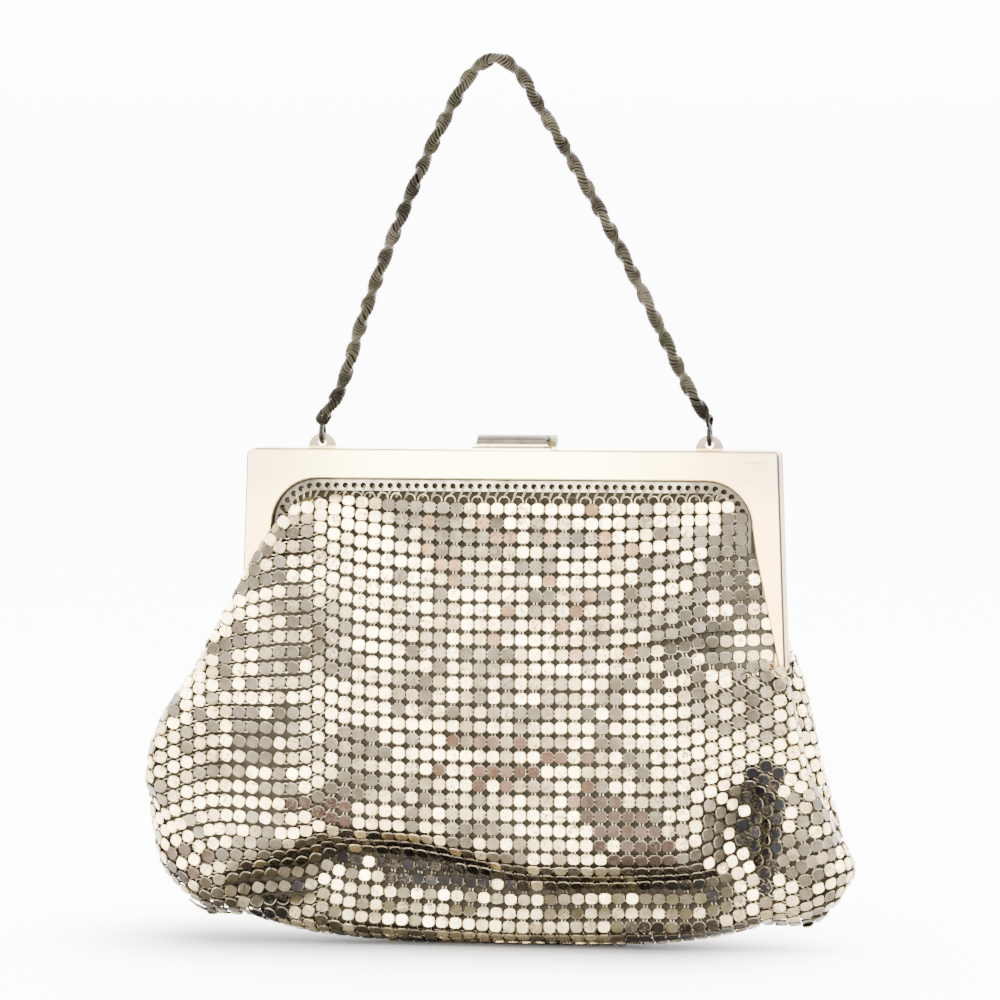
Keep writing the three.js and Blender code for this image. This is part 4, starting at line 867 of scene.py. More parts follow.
def chain_metal():
    nodes = Finish("tarnished_chain")
    patch = nodes.noise(150.0, 3.0, 0.6)
    green = nodes.noise(60.0, 2.0, 0.5).above(0.5, 0.66)
    tint = nodes.attribute("tint")
    colour = nodes.ramp(patch, ((0.3, (0.0075, 0.0062, 0.0044)), (0.5, (0.018, 0.015, 0.0105)),
                                (0.75, (0.055, 0.046, 0.032))))
    colour = nodes.mix(green * 0.45, colour, (0.018, 0.0185, 0.010))
    colour = nodes.mix(1.0, colour, tint, "MULTIPLY")
    return nodes.finish(Base_Color=colour, Metallic=1.0, Roughness=0.34 + patch * 0.2,
                        Normal=nodes.bump(patch, 0.2, 0.00005))


def end_ring_metal():
    nodes = Finish("dark_end_rings")
    patch = nodes.noise(300.0, 3.0, 0.6)
    colour = nodes.ramp(patch, ((0.3, (0.007, 0.0062, 0.0055)), (0.75, (0.028, 0.024, 0.02))))
    return nodes.finish(Base_Color=colour, Metallic=1.0, Roughness=0.4 + patch * 0.2)


def lining_cloth():
    """Cloth inside the mesh, with painted shade that makes it darkest behind the rails."""
    nodes = Finish("lining_cloth")
    across = nodes.noise(2600.0, 1.0, 0.5, 0.0, nodes.stretched((1.0, 1.0, 0.12)))
    along = nodes.noise(2600.0, 1.0, 0.5, 0.0, nodes.stretched((0.12, 0.12, 1.0)))
    stain = nodes.noise(35.0, 3.0, 0.6)
    weave = (across + along) * 0.5
    dark = nodes.ramp(stain, ((0.3, (0.014, 0.0115, 0.007)), (0.75, (0.030, 0.0245, 0.014))))
    pale = nodes.ramp(stain, ((0.3, (0.022, 0.0195, 0.0135)), (0.75, (0.050, 0.044, 0.031))))
    # Painted shade: the cloth takes the darker colours high up, behind the rails.
    colour = nodes.mix(nodes.along("Z").above(-0.015, -0.0105), pale, dark)
    colour = nodes.mix(weave.above(0.35, 0.65) * 0.2, colour, (0.06, 0.052, 0.036))
    return nodes.finish(Base_Color=colour, Roughness=0.8 + stain * 0.1, Specular_IOR_Level=0.0,
                        Normal=nodes.bump(weave, 0.4, 0.0001))


# The floor's painted shadow round the bag's foot: how far left its middle is, half its straight length, how
# far it fades out, and how deep it is
FOOT_SHADE_LEFT = 16.0
FOOT_SHADE_HALF = 42.0
FOOT_SHADE_REACH = 62.0
FOOT_SHADE_DEPTH = 0.96


def floor_finish():
    """Pale floor, with a painted shadow that greys it close round the bag's foot."""
    nodes = Finish("pale_floor")
    grain = nodes.noise(30.0, 2.0)
    over = (abs(nodes.along("X") + FOOT_SHADE_LEFT * MM) - FOOT_SHADE_HALF * MM).at_least(0.0)
    aside = nodes.along("Y")
    away = (over * over + aside * aside) ** 0.5
    colour = nodes.ramp(grain, ((0.0, (0.94, 0.94, 0.94)), (1.0, (0.96, 0.96, 0.96))))
    # Painted shadow: the floor darkens towards the bag's foot.
    colour = nodes.mix((1 - away.above(0.0, FOOT_SHADE_REACH * MM)) ** 2.2 * FOOT_SHADE_DEPTH, colour,
                       (0.10, 0.095, 0.09))
    return nodes.finish(Base_Color=colour, Roughness=0.75)


FINISHES = {}


def finish_for(name, maker):
    if name not in FINISHES:
        FINISHES[name] = maker()
    return FINISHES[name]


# Meshes and copies

def mesh_object(name, points, faces, smooth_faces=False):
    """A mesh from points in metres."""
    mesh = bpy.data.meshes.new(name)
    mesh.from_pydata([tuple(p) for p in points], [], faces)
    mesh.update()
    if smooth_faces:
        mesh.polygons.foreach_set("use_smooth", [True] * len(mesh.polygons))
    piece = bpy.data.objects.new(name, mesh)
    bpy.context.scene.collection.objects.link(piece)
    return piece


def geometry_nodes(name, sockets, result):
    """An empty Geometry Nodes tree with the named inputs and one output of geometry."""
    tree = bpy.data.node_groups.new(name, "GeometryNodeTree")
    for label, kind in sockets.items():
        tree.interface.new_socket(name=label, in_out="INPUT", socket_type=f"NodeSocket{kind}")
    tree.interface.new_socket(name=result, in_out="OUTPUT", socket_type="NodeSocketGeometry")
    return Nodes(tree)


def painted_result(nodes, parts, finish, result):
    """Ends a tree: instances made real, and the finish on every face."""
    real = nodes.make("GeometryNodeRealizeInstances", {}, {"Geometry": parts})
    painted = nodes.make("GeometryNodeSetMaterial", {}, {"Geometry": real, "Material": finish})
    nodes.make("NodeGroupOutput", {}, {result: painted}, None)
    return nodes.tree


def copies_tree(name, seed):
    """Puts a turned and tilted copy of a template on every point of the mesh it is given."""
    nodes = geometry_nodes(name, {"Places": "Geometry", "Template": "Object", "Size": "Float",
                                  "Loose Tilt": "Float", "Finish": "Material"}, "Copies")

    def given(label):
        return nodes.make("NodeGroupInput", {}, {}, label)

    turn = nodes.make("GeometryNodeInputNamedAttribute", {"data_type": "FLOAT_VECTOR"}, {"Name": "turn"})
    template = nodes.make("GeometryNodeObjectInfo", {}, {"Object": given("Template")}, "Geometry")
    points = nodes.make("GeometryNodeMeshToPoints", {}, {"Mesh": given("Places")})
    most = given("Loose Tilt")
    least = 0.0 - most
    leaning = nodes.make("FunctionNodeRandomValue", {"data_type": "FLOAT_VECTOR"}, {
        "Seed": seed,
        0: nodes.make("ShaderNodeCombineXYZ", {}, {"X": least, "Y": least}),
        1: nodes.make("ShaderNodeCombineXYZ", {}, {"X": most, "Y": most})})
    turned = nodes.make("FunctionNodeRotateRotation", {"rotation_space": "LOCAL"}, {
        "Rotation": nodes.make("FunctionNodeEulerToRotation", {}, {"Euler": turn}),
        "Rotate By": nodes.make("FunctionNodeEulerToRotation", {}, {"Euler": leaning})})
    copies = nodes.make("GeometryNodeInstanceOnPoints", {}, {
        "Points": points, "Instance": template, "Rotation": turned, "Scale": given("Size")})
    return painted_result(nodes, copies, given("Finish"), "Copies")


def run_tree(carrier, tree, values):
    """Evaluates a tree on an object and keeps the result as its plain mesh."""
    modifier = carrier.modifiers.new(tree.name, "NODES")
    modifier.node_group = tree
    for item in tree.interface.items_tree:
        if item.item_type == "SOCKET" and item.in_out == "INPUT" and item.name in values:
            modifier[item.identifier] = values[item.name]
    bpy.context.view_layer.update()
    depsgraph = bpy.context.evaluated_depsgraph_get()
    mesh = bpy.data.meshes.new_from_object(carrier.evaluated_get(depsgraph), depsgraph=depsgraph)
    carrier.modifiers.clear()
    mesh.materials.clear()
    mesh.materials.append(values["Finish"])
    mesh.polygons.foreach_set("material_index", [0] * len(mesh.polygons))
    old = carrier.data
    carrier.data = mesh
    mesh.name = carrier.name
    bpy.data.meshes.remove(old)
    return carrier


def copies_of(name, template, places, turns, tilt, seed, finish, tints=None, wears=None):
    """A piece made of copies of a template at places in purse millimetres. Without tints and wears the
    copies are alike."""
    count = len(places)
    if not count:
        raise RuntimeError(f"{name}: there is no place to put a copy")
    carrier = mesh_object(name, at_place(places), [])
    mesh = carrier.data
    tints = np.ones((count, 4)) if tints is None else tints
    wears = np.ones(count) if wears is None else wears
    for key, kind, field, rows in (("turn", "FLOAT_VECTOR", "vector", turns),
                                   ("tint", "FLOAT_COLOR", "color", tints),
                                   ("wear", "FLOAT", "value", wears)):
        layer = mesh.attributes.new(key, kind, "POINT")
        layer.data.foreach_set(field, np.asarray(rows, dtype=np.float32).ravel())
    run_tree(carrier, copies_tree(f"{name}_copies", seed), {
        "Template": template, "Size": 1.0, "Loose Tilt": tilt, "Finish": finish})
    bpy.data.objects.remove(template)
    if len(carrier.data.polygons) < count:
        raise RuntimeError(f"{name}: the copies weren't made")
    return carrier


def own(piece, slot, *replaced):
    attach(piece, BODY)
    if replaced:
        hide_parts(*replaced)
    return piece


# A plate's height as a share of its width, how square it is, its sides, and its rings from the face
# to the back: size as a share, and height in millimetres
PLATE_HEIGHT = 0.955
PLATE_SQUARENESS = 3.1
PLATE_SIDES = 16
PLATE_RINGS = ((0.87, 0.10), (1.0, -0.05), (0.98, -0.34))


def plate_template(half_wide, half_high):
    """A flat plate with a turned-down rim: Z is up out of its face."""
    sides = PLATE_SIDES
    points, faces = [], []
    for share, z in PLATE_RINGS:
        for i in range(sides):
            angle = 2 * math.pi * (i + 0.5) / sides
            c, s = math.cos(angle), math.sin(angle)
            radius = (abs(c) ** PLATE_SQUARENESS + abs(s) ** PLATE_SQUARENESS) ** (-1 / PLATE_SQUARENESS)
            points.append((half_wide * share * radius * c * MM, half_high * share * radius * s * MM, z * MM))
    faces.append(tuple(range(sides)))
    for ring in range(2):
        for i in range(sides):
            j = (i + 1) % sides
            a, b = ring * sides, (ring + 1) * sides
            faces.append((a + i, b + i, b + j, a + j))
    faces.append(tuple(reversed(range(2 * sides, 3 * sides))))
    plate = mesh_object("plate_template", points, faces)
    flat = plate.data.attributes.new("flat", "FLOAT", "FACE")
    flat.data.foreach_set("value", [1.0] + [0.0] * (len(faces) - 1))
    return plate


def ring_template(name, radius, wire, steps, sides, long=0.0):
    """A wire ring round Z. long pulls it out along X."""
    points, faces = [], []
    for i in range(steps):
        angle = 2 * math.pi * i / steps
        pull = long / 2 * (1 if math.cos(angle) > 0 else -1)
        for j in range(sides):
            turn = 2 * math.pi * (j + 0.5) / sides
            r = radius + wire * math.cos(turn)
            points.append(((r * math.cos(angle) + pull) * MM, r * math.sin(angle) * MM,
                           wire * math.sin(turn) * MM))
    for i in range(steps):
        for j in range(sides):
            a, b = i * sides, ((i + 1) % steps) * sides
            k = (j + 1) % sides
            faces.append((a + j, b + j, b + k, a + k))
    return mesh_object(name, points, faces, smooth_faces=True)


# Settings

class PurseMeshSettings(bpy.types.PropertyGroup):
    """Sizes and colours of the metal mesh."""

    pitch_across: bpy.props.FloatProperty(
        name="Pitch Across", description="Distance between plates side by side, in millimetres",
        default=2.67, min=1.0, max=6.0)
    pitch_down: bpy.props.FloatProperty(
        name="Pitch Down", description="Distance between rows of plates, in millimetres",
        default=2.86, min=1.0, max=6.0)
    plate_size: bpy.props.FloatProperty(
        name="Plate Size", description="Half the width of a plate, in millimetres",
        default=1.25, min=0.4, max=3.0)
    loose_tilt: bpy.props.FloatProperty(
        name="Loose Tilt", description="How far single plates lean out of the surface",
        default=math.radians(3.2), min=0.0, max=0.5, subtype="ANGLE")
    plate_colour: bpy.props.FloatVectorProperty(
        name="Plate Colour", description="Colour of a bright plate",
        default=(0.97, 0.78, 0.42), size=3, min=0.0, max=1.0, subtype="COLOR")
    low_colour: bpy.props.FloatVectorProperty(
        name="Low Plate Colour", description="Colour of the plates near the bottom",
        default=(0.97, 0.80, 0.45), size=3, min=0.0, max=1.0, subtype="COLOR")


class PurseChainSettings(bpy.types.PropertyGroup):
    """Sizes of the rope chain."""

    link_radius: bpy.props.FloatProperty(
        name="Link Radius", description="Radius of a link at the middle of its wire, in millimetres",
        default=1.14, min=0.3, max=4.0)
    wire: bpy.props.FloatProperty(
        name="Wire", description="Half the thickness of the wire, in millimetres",
        default=0.35, min=0.05, max=1.0)
    link_step: bpy.props.FloatProperty(
        name="Link Step", description="Distance from one link to the next along the chain, in millimetres",
        default=0.5, min=0.2, max=4.0)
    twist: bpy.props.FloatProperty(
        name="Twist", description="Turn from one link to the next",
        default=math.radians(18.5), min=0.0, max=math.pi, subtype="ANGLE")


class PurseStageSettings(bpy.types.PropertyGroup):
    """Camera, floor and light."""

    camera_azimuth: bpy.props.FloatProperty(
        name="Camera Azimuth", description="Angle of the camera round the purse from its front",
        default=math.radians(8.0), min=-math.pi, max=math.pi, subtype="ANGLE")
    camera_elevation: bpy.props.FloatProperty(
        name="Camera Elevation", description="Angle of the camera above the purse",
        default=math.radians(3.6), min=-1.5, max=1.5, subtype="ANGLE")
    camera_distance: bpy.props.FloatProperty(
        name="Camera Distance", description="Distance from the camera to the purse",
        default=0.95, min=0.2, max=5.0, unit="LENGTH")
    picture_width: bpy.props.FloatProperty(
        name="Picture Width", description="Width of what the camera shows at the purse",
        default=0.1967, min=0.05, max=1.0, unit="LENGTH")
    light_power: bpy.props.FloatProperty(
        name="Light Power", description="Power of the main soft light, in watts",
        default=60.0, min=0.0, max=500.0)
    backdrop: bpy.props.FloatProperty(
        name="Backdrop", description="Brightness of the white behind the purse",
        default=15.0, min=0.0, max=50.0)


class PURSE_OT_stage(bpy.types.Operator):
    """Make the camera, the floor and the soft light"""

    bl_idname = "purse.make_stage"
    bl_label = "Make Camera, Floor and Light"

    def execute(self, context):
        settings = context.scene.purse_stage
        add_camera(settings)
        add_floor()
        add_lights(settings)
        return {"FINISHED"}


# Where the camera looks, in purse millimetres: the middle of the photographed view
LOOK_AT = (-2.9, 0.0, -10.0)
SENSOR = 36.0


def add_camera(settings):
    target = Vector(at_place(LOOK_AT))
    azimuth, elevation = settings.camera_azimuth, settings.camera_elevation
    away = Vector((math.sin(azimuth) * math.cos(elevation), -math.cos(azimuth) * math.cos(elevation),
                   math.sin(elevation)))
    camera = bpy.data.cameras.new("camera")
    camera.sensor_width = SENSOR
    camera.lens = SENSOR * settings.camera_distance / settings.picture_width
    holder = bpy.data.objects.new("camera", camera)
    holder.location = target + away * settings.camera_distance
    holder.rotation_euler = away.to_track_quat("Z", "Y").to_euler()
    bpy.context.scene.collection.objects.link(holder)
    bpy.context.scene.camera = holder


# The floor: how far below the bag in millimetres, its radius in metres, and its sides
FLOOR_BELOW = 0.4
FLOOR_RADIUS = 12.0
FLOOR_SIDES = 96


def add_floor():
    height = float(at_place((0, 0, -BAG_DROP - FLOOR_BELOW))[2])
    angles = [2 * math.pi * i / FLOOR_SIDES for i in range(FLOOR_SIDES)]
    points = [(FLOOR_RADIUS * math.cos(angle), FLOOR_RADIUS * math.sin(angle), height) for angle in angles]
    floor = mesh_object("floor", points, [tuple(range(FLOOR_SIDES))])
    floor.data.materials.append(finish_for("floor", floor_finish))


# Soft lights: name, place and aim in metres, width and height in metres, share of the power
LIGHTS = (
    ("top_softbox", (0.1, -0.1, 1.15), (0.0, 0.0, -0.12), 1.2, 1.0, 0.5),
    ("front_softbox", (-0.39, -1.47, 0.37), (0.0, 0.0, -0.12), 1.6, 0.7, 1.2),
    ("right_softbox", (1.3, -0.5, 0.25), (0.0, 0.0, -0.12), 0.5, 0.8, 0.12),
)

# Brightness of the surroundings by direction, from straight in front of the purse to behind it
SURROUNDINGS = ((0.0, 0.25), (0.12, 0.28), (0.26, 0.66), (0.42, 1.0))

# Brightness at the horizon as a share of that above it, and how high up it is full, so that the floor
# and the backdrop meet without a line
HORIZON_SHARE = 0.82
HORIZON_REACH = 0.05


def add_lights(settings):
    for name, place, aim, width, height, share in LIGHTS:
        light = bpy.data.lights.new(name, "AREA")
        light.shape = "RECTANGLE"
        light.size = width
        light.size_y = height
        light.energy = settings.light_power * share
        holder = bpy.data.objects.new(name, light)
        holder.location = place
        holder.rotation_euler = (Vector(place) - Vector(aim)).to_track_quat("Z", "Y").to_euler()
        holder.visible_camera = False
        bpy.context.scene.collection.objects.link(holder)
    world = bpy.context.scene.world or bpy.data.worlds.new("studio")
    bpy.context.scene.world = world
    world.use_nodes = True
    nodes = Nodes(world.node_tree)
    direction = nodes.make("ShaderNodeTexCoord", {}, {}, "Generated")
    depth = nodes.make("ShaderNodeSeparateXYZ", {}, {"Vector": direction}, "Y")
    level = nodes.make("ShaderNodeValToRGB", {"stops": [(at, (bright,) * 3) for at, bright in SURROUNDINGS]},
                       {"Fac": depth * 0.5 + 0.5})
    height = nodes.make("ShaderNodeSeparateXYZ", {}, {"Vector": direction}, "Z")
    strength = (HORIZON_SHARE + height.above(0.0, HORIZON_REACH) * (1 - HORIZON_SHARE)) * settings.backdrop
    back = nodes.make("ShaderNodeBackground", {}, {"Color": level, "Strength": strength})
    nodes.make("ShaderNodeOutputWorld", {}, {"Surface": back}, None)


# The unrolled surface: its steps from plate to plate, its levels, how far out it is unrolled, and the
# height of the first row's middle
SURFACE = {}
STEPS_PER_PLATE = 6
SURFACE_LEVELS = 360
SURFACE_REACH = 100.0
FIRST_ROW_Z = -11.35


def unrolled(settings):
    """Both faces of the bag's surface, unrolled once."""
    if "front" not in SURFACE:
        rings = bag_surface(SURFACE_LEVELS)
        SURFACE["rings"] = rings
        step = settings.pitch_across / STEPS_PER_PLATE
        reach = int(SURFACE_REACH / step)
        for name, front in (("front", True), ("back", False)):
            side = Side(rings, front, step, reach)
            side.count_rows(settings.pitch_down, FIRST_ROW_Z)
            SURFACE[name] = side
    return SURFACE


def row_lift(x, z):
    """How many rows higher than in the middle a row hangs: it rises to both upper corners."""
    left = 1.15 * np.clip((-x - 4) / 39.6, 0, 1) ** 1.8 * (1 - 0.75 * smooth(-14, -85, z))
    left = left * (0.5 + 0.5 * smooth(-10.5, -17.5, z))
    left = left - 0.07 * np.clip(-x - 45, 0, 12) * (1 - smooth(-30, -60, z))
    right = 0.85 * smooth(12, 43, x) * (0.2 + 0.8 * smooth(-11, -20, z)) * (1 - smooth(-33, -50, z))
    return left + right


# Least distance from a plate's middle to the edge of the mouth, in rows, and the first row and the last
MOUTH_MARGIN = 0.52
FIRST_ROW = -2
ROWS = 44

# Where the front's rows run on sideways until the right arm or the rail covers them: from this far
# out and down to this height, with the least depth of a plate and the step from one to the next
ARM_ROWS_FROM = 38.5
ARM_ROWS_TO = -43.6
ARM_ROWS_DEPTH = 4.95
ARM_ROWS_STEP = 2.62
ARM_ROWS_RISE = 0.12
ARM_ROWS_SINK = 0.42


def cover_edge(z):
    """How far out the opening is at a height: to the rail beside it, and to the arm below it."""
    if z > -SHOULDER_DROP:
        radius = INNER_CORNER - RAIL_SHOWN
        over = min(radius, max(0.0, z + CORNER_DROP))
        return INNER_TOP_HALF + math.sqrt(radius * radius - over * over)
    return float(inner_half_at(z))


def rows_beside_arm(plates):
    """Lets the rows beside the right arm run on, evenly, until the arm covers them."""
    for j in range(FIRST_ROW, ROWS):
        row = sorted(i for i, k in plates if k == j and i > 0)
        kept = [i for i in row if plates[(i, j)][0][0] < ARM_ROWS_FROM]
        if not kept or plates[(kept[-1], j)][0][2] < ARM_ROWS_TO:
            continue
        last = kept[-1]
        for i in row:
            if i > last:
                del plates[(i, j)]
        x, y, z = plates[(last, j)][0]
        k = 1
        while x + k * ARM_ROWS_STEP < cover_edge(z) + ARM_ROWS_STEP * 0.3:
            depth = max(ARM_ROWS_DEPTH, -y - ARM_ROWS_SINK * k)
            lean = 0.12 if depth > ARM_ROWS_DEPTH else 0.02
            turn, normal = turned_like(np.array([1.0, lean, ARM_ROWS_RISE / ARM_ROWS_STEP]),
                                       np.array([0.0, 0.0, -1.0]), 1)
            place = np.array([x + k * ARM_ROWS_STEP, -depth, z + ARM_ROWS_RISE * k])
            plates[(last + k, j)] = (place, turn, normal)
            k += 1


# The rings' radius, half the thickness of their wire, how far behind the plates they lie, and how much
# further where the plates lean towards one another
RING_RADIUS = 1.06
RING_WIRE = 0.16
RING_BEHIND = 0.32
RING_SINK = 0.6

# Steps round a ring and sides of its wire, and how far single rings lean
RING_FACES = (12, 4)
RING_TILT = 0.05


def rings_between(plates, pitch_across, pitch_down, outward):
    """Places and turns of the rings: one between every four plates, and one over each two of a row that
    has none above it."""
    rings = []
    for (i, j), here in plates.items():
        place, turn, _ = here
        beside = plates.get((i + 1, j))
        if beside is None or np.linalg.norm(beside[0] - place) > 1.5 * pitch_across:
            continue
        middle = (place + beside[0]) / 2
        across = beside[0] - place
        below, diagonal = plates.get((i, j + 1)), plates.get((i + 1, j + 1))
        if below is not None and diagonal is not None:
            low = (below[0] + diagonal[0]) / 2
            if np.linalg.norm(low - middle) < 1.6 * pitch_down:
                rings.append(((middle + low) / 2, across, low - middle, (here, beside, below, diagonal)))
        if (i, j - 1) not in plates and (i + 1, j - 1) not in plates:
            down = -np.array(turn.to_matrix().col[1])
            rings.append((middle - down * pitch_down / 2, across, down, (here, beside)))
    found = []
    for place, across, down, corners in rings:
        made = turned_like(across, down, outward)
        if made is not None:
            turn, normal = made
            hollow = max(0.0, max(np.dot(place - corner, facing) for corner, _, facing in corners))
            found.append((place - normal * (RING_BEHIND + RING_SINK * hollow), turn, normal, hollow))
    return found


def lattice(side, outward):
    """The plates of one face: {(column, row): (place, turn, normal)}."""
    width = side.grid.shape[1]
    centre = width // 2
    columns = centre // STEPS_PER_PLATE
    plates = {}
    for i in range(-columns, columns + 1):
        m = centre + i * STEPS_PER_PLATE
        if m >= width:
            continue
        known = side.rows[~np.isnan(side.rows[:, m]), m]
        if len(known) < 3:
            continue
        last = side.rows[side.end, m] + (0.5 if outward > 0 else -0.5)
        for j in range(FIRST_ROW, ROWS):
            rough = side.place(m, max(j, known[0]))
            if rough is None:
                continue
            row = j - float(row_lift(rough[0], rough[2]))
            if row < known[0] + MOUTH_MARGIN or row > last:
                continue
            frame_here = side.frame_at(m, row, outward)
            if frame_here is not None:
                plates[(i, j)] = frame_here
    if outward > 0:
        rows_beside_arm(plates)
    return plates


# Brightness of a plate by its rank among all plates, dullest first
BRIGHTNESS = ((0.0, 0.04), (0.1, 0.07), (0.2, 0.11), (0.3, 0.19), (0.42, 0.38), (0.58, 0.68), (0.75, 0.92),
              (1.0, 1.0))
DULL_TINT = np.array([1.0, 0.86, 0.62])

# The mean size in millimetres of the brighter and duller patches, and the waves that make them up
CLOUD_SIZE = 26.0
CLOUD_WAVES = 14


def clouds(x, z, rng):
    """Smooth patches over the mesh, 0 on average with a spread of 1."""
    total = np.zeros(len(x))
    for _ in range(CLOUD_WAVES):
        angle, phase = rng.uniform(0, 2 * math.pi, 2)
        wave = CLOUD_SIZE * rng.uniform(0.5, 1.6)
        total += np.cos(2 * math.pi * (x * math.cos(angle) + 1.6 * z * math.sin(angle)) / wave + phase)
    return total / math.sqrt(CLOUD_WAVES / 2)


def plate_colours(places, normals, rng, settings, front):
    """Colour and wear of each plate, from the patches and from chance, with painted shade and painted
    reflection from how it hangs.
    """
    count = len(places)
    bright = np.array(settings.plate_colour)
    x, z = places[:, 0], places[:, 2]
    # Painted shade: plates rank lower and grow darker towards the bottom.
    low = smooth(-78.0, -92.0, z)
    level = 0.6 * clouds(x, z, rng) + 0.8 * rng.normal(0, 1, count) + 0.15 - 0.3 * low
    level += 0.15 * smooth(15, 45, np.abs(x))
    rank = 1 / (1 + np.exp(-1.7 * level))
    value = np.interp(rank, *zip(*BRIGHTNESS))
    value = value * np.exp(rng.normal(0, 0.06, count))
    # Painted shade and painted reflection: plates that face down, to a side or up are darkened for the
    # surroundings they mirror.
    under = smooth(0.4, 0.8, -normals[:, 2]) * (1 - smooth(-90.0, -93.0, z))
    value = value * (1 - low * 0.25) * (1 - 0.6 * under)
    value = value * (1 - 0.45 * smooth(0.55, 0.95, np.abs(normals[:, 0])))
    value = value * (1 - 0.5 * smooth(0.5, 0.9, normals[:, 2]))
    warm = smooth(0.04, 0.3, value)[:, None]
    tint = DULL_TINT * (1 - warm) + bright * warm
    tint = tint * (1 - low[:, None]) + np.array(settings.low_colour) * low[:, None]
    colours = tint * value[:, None]
    if front:
        for _, x0, z0, x1, z1, wide, colour, chance in WEAR_AND_PAINTED_SHADE_PATCHES:
            away = line_place(x, z, (x0, z0), (x1, z1))[1]
            near = 1 - smooth(0.75 * wide, 1.35 * wide, away)
            taken = rng.random(count) < chance * near
            patch = np.array(colour) * np.exp(rng.normal(0, 0.22, count))[:, None]
            colours = np.where(taken[:, None], patch, colours)
    wear = np.clip(rng.normal(0.5, 0.35, count), 0.0, 1.0)
    return np.concatenate([np.clip(colours, 0, 1), np.ones((count, 1))], axis=1), wear


# Seeds of the plates' colours, the plates' lean and the rings' lean
COLOUR_SEED = 7
PLATE_SEED = 11
RING_SEED = 5


class PURSE_OT_plates(bpy.types.Operator):
    """Make the plates of the mesh and the rings that join them"""

    bl_idname = "purse.make_plates"
    bl_label = "Make Plates and Rings"

    def execute(self, context):
        settings = context.scene.purse_mesh
        surface = unrolled(settings)
        rng = np.random.default_rng(COLOUR_SEED)
        for name, outward in (("front", 1), ("back", -1)):
            plates = lattice(surface[name], outward)
            places = np.array([f[0] for f in plates.values()])
            normals = np.array([f[2] for f in plates.values()])
            turns = [tuple(f[1]) for f in plates.values()]
            tints, wears = plate_colours(places, normals, rng, settings, name == "front")
            template = plate_template(settings.plate_size, settings.plate_size * PLATE_HEIGHT)
            piece = copies_of(f"{name}_plates", template, places, turns, settings.loose_tilt, PLATE_SEED,
                              finish_for("plate", plate_metal), tints, wears)
            own(piece, "mesh", "mesh_bag")
            self.add_rings(name, rings_between(plates, settings.pitch_across, settings.pitch_down, outward))
        return {"FINISHED"}

    def add_rings(self, name, rings):
        places = np.array([place for place, _, _, _ in rings])
        turns = [tuple(turn) for _, turn, _, _ in rings]
        aside = np.array([abs(normal[0]) for _, _, normal, _ in rings])
        hollow = np.array([depth for _, _, _, depth in rings])
        # Painted shade: rings turned to a side or sunk in hollows between leaning plates are darkened.
        painted_ring_shade = (1 - 0.8 * smooth(0.2, 0.55, aside)) * (1 - 0.8 * smooth(0.2, 0.6, hollow))
        tints = np.column_stack([painted_ring_shade, painted_ring_shade, painted_ring_shade, np.ones(len(painted_ring_shade))])
        template = ring_template("ring_template", RING_RADIUS, RING_WIRE, *RING_FACES)
        piece = copies_of(f"{name}_mesh_rings", template, places, turns, RING_TILT, RING_SEED,
                          finish_for("ring", ring_metal), tints)
        own(piece, "mesh", "mesh_bag")


# The lining: how far inside the mesh, how thick, its top edge and its depth there, and the heights
# between which it starts to reach behind the opening's edges, past the rails and past the arms
LINING_INWARD = 2.0
LINING_THICK = 0.5
LINING_TOP = -6.25
LINING_TOP_DEPTH = 3.7
LINING_FLAT_FROM = -25.0
LINING_FLAT_TO = -18.0
LINING_WIDE_FROM = -43.0
LINING_WIDE_TO = -37.0
LINING_PAST_RAIL = 1.75
LINING_PAST_ARM = 0.6

# The share of the levels that it keeps, how many of the surface's points it skips, and how often its
# directions are evened out
LINING_KEPT = 0.97
LINING_SPARSE = 4
LINING_EVENED = 6


def reach_behind_edges(inside):
    """Stretches the lining sideways, each quarter by itself, until it goes behind the opening's edges."""
    x, z = inside[:, :, 0], inside[:, :, 2]
    past = np.where(z[:, 0] > -SHOULDER_DROP, LINING_PAST_RAIL, LINING_PAST_ARM)
    cover = (np.array([cover_edge(level) for level in z[:, 0]]) + past)[:, None]
    share = smooth(LINING_WIDE_FROM, LINING_WIDE_TO, z)
    front = (np.arange(x.shape[1]) <= RING_TURN * ROUNDS / LINING_SPARSE)[None, :]
    stretch = np.ones_like(x)
    for half in (front, ~front):
        for part in (half & (x > 0), half & (x <= 0)):
            reach = np.maximum(np.where(part, np.abs(x), 0.0).max(axis=1, keepdims=True), 1.0)
            stretch = np.where(part, 1 + (np.maximum(reach, cover) / reach - 1) * share, stretch)
    inside[:, :, 0] = x * stretch


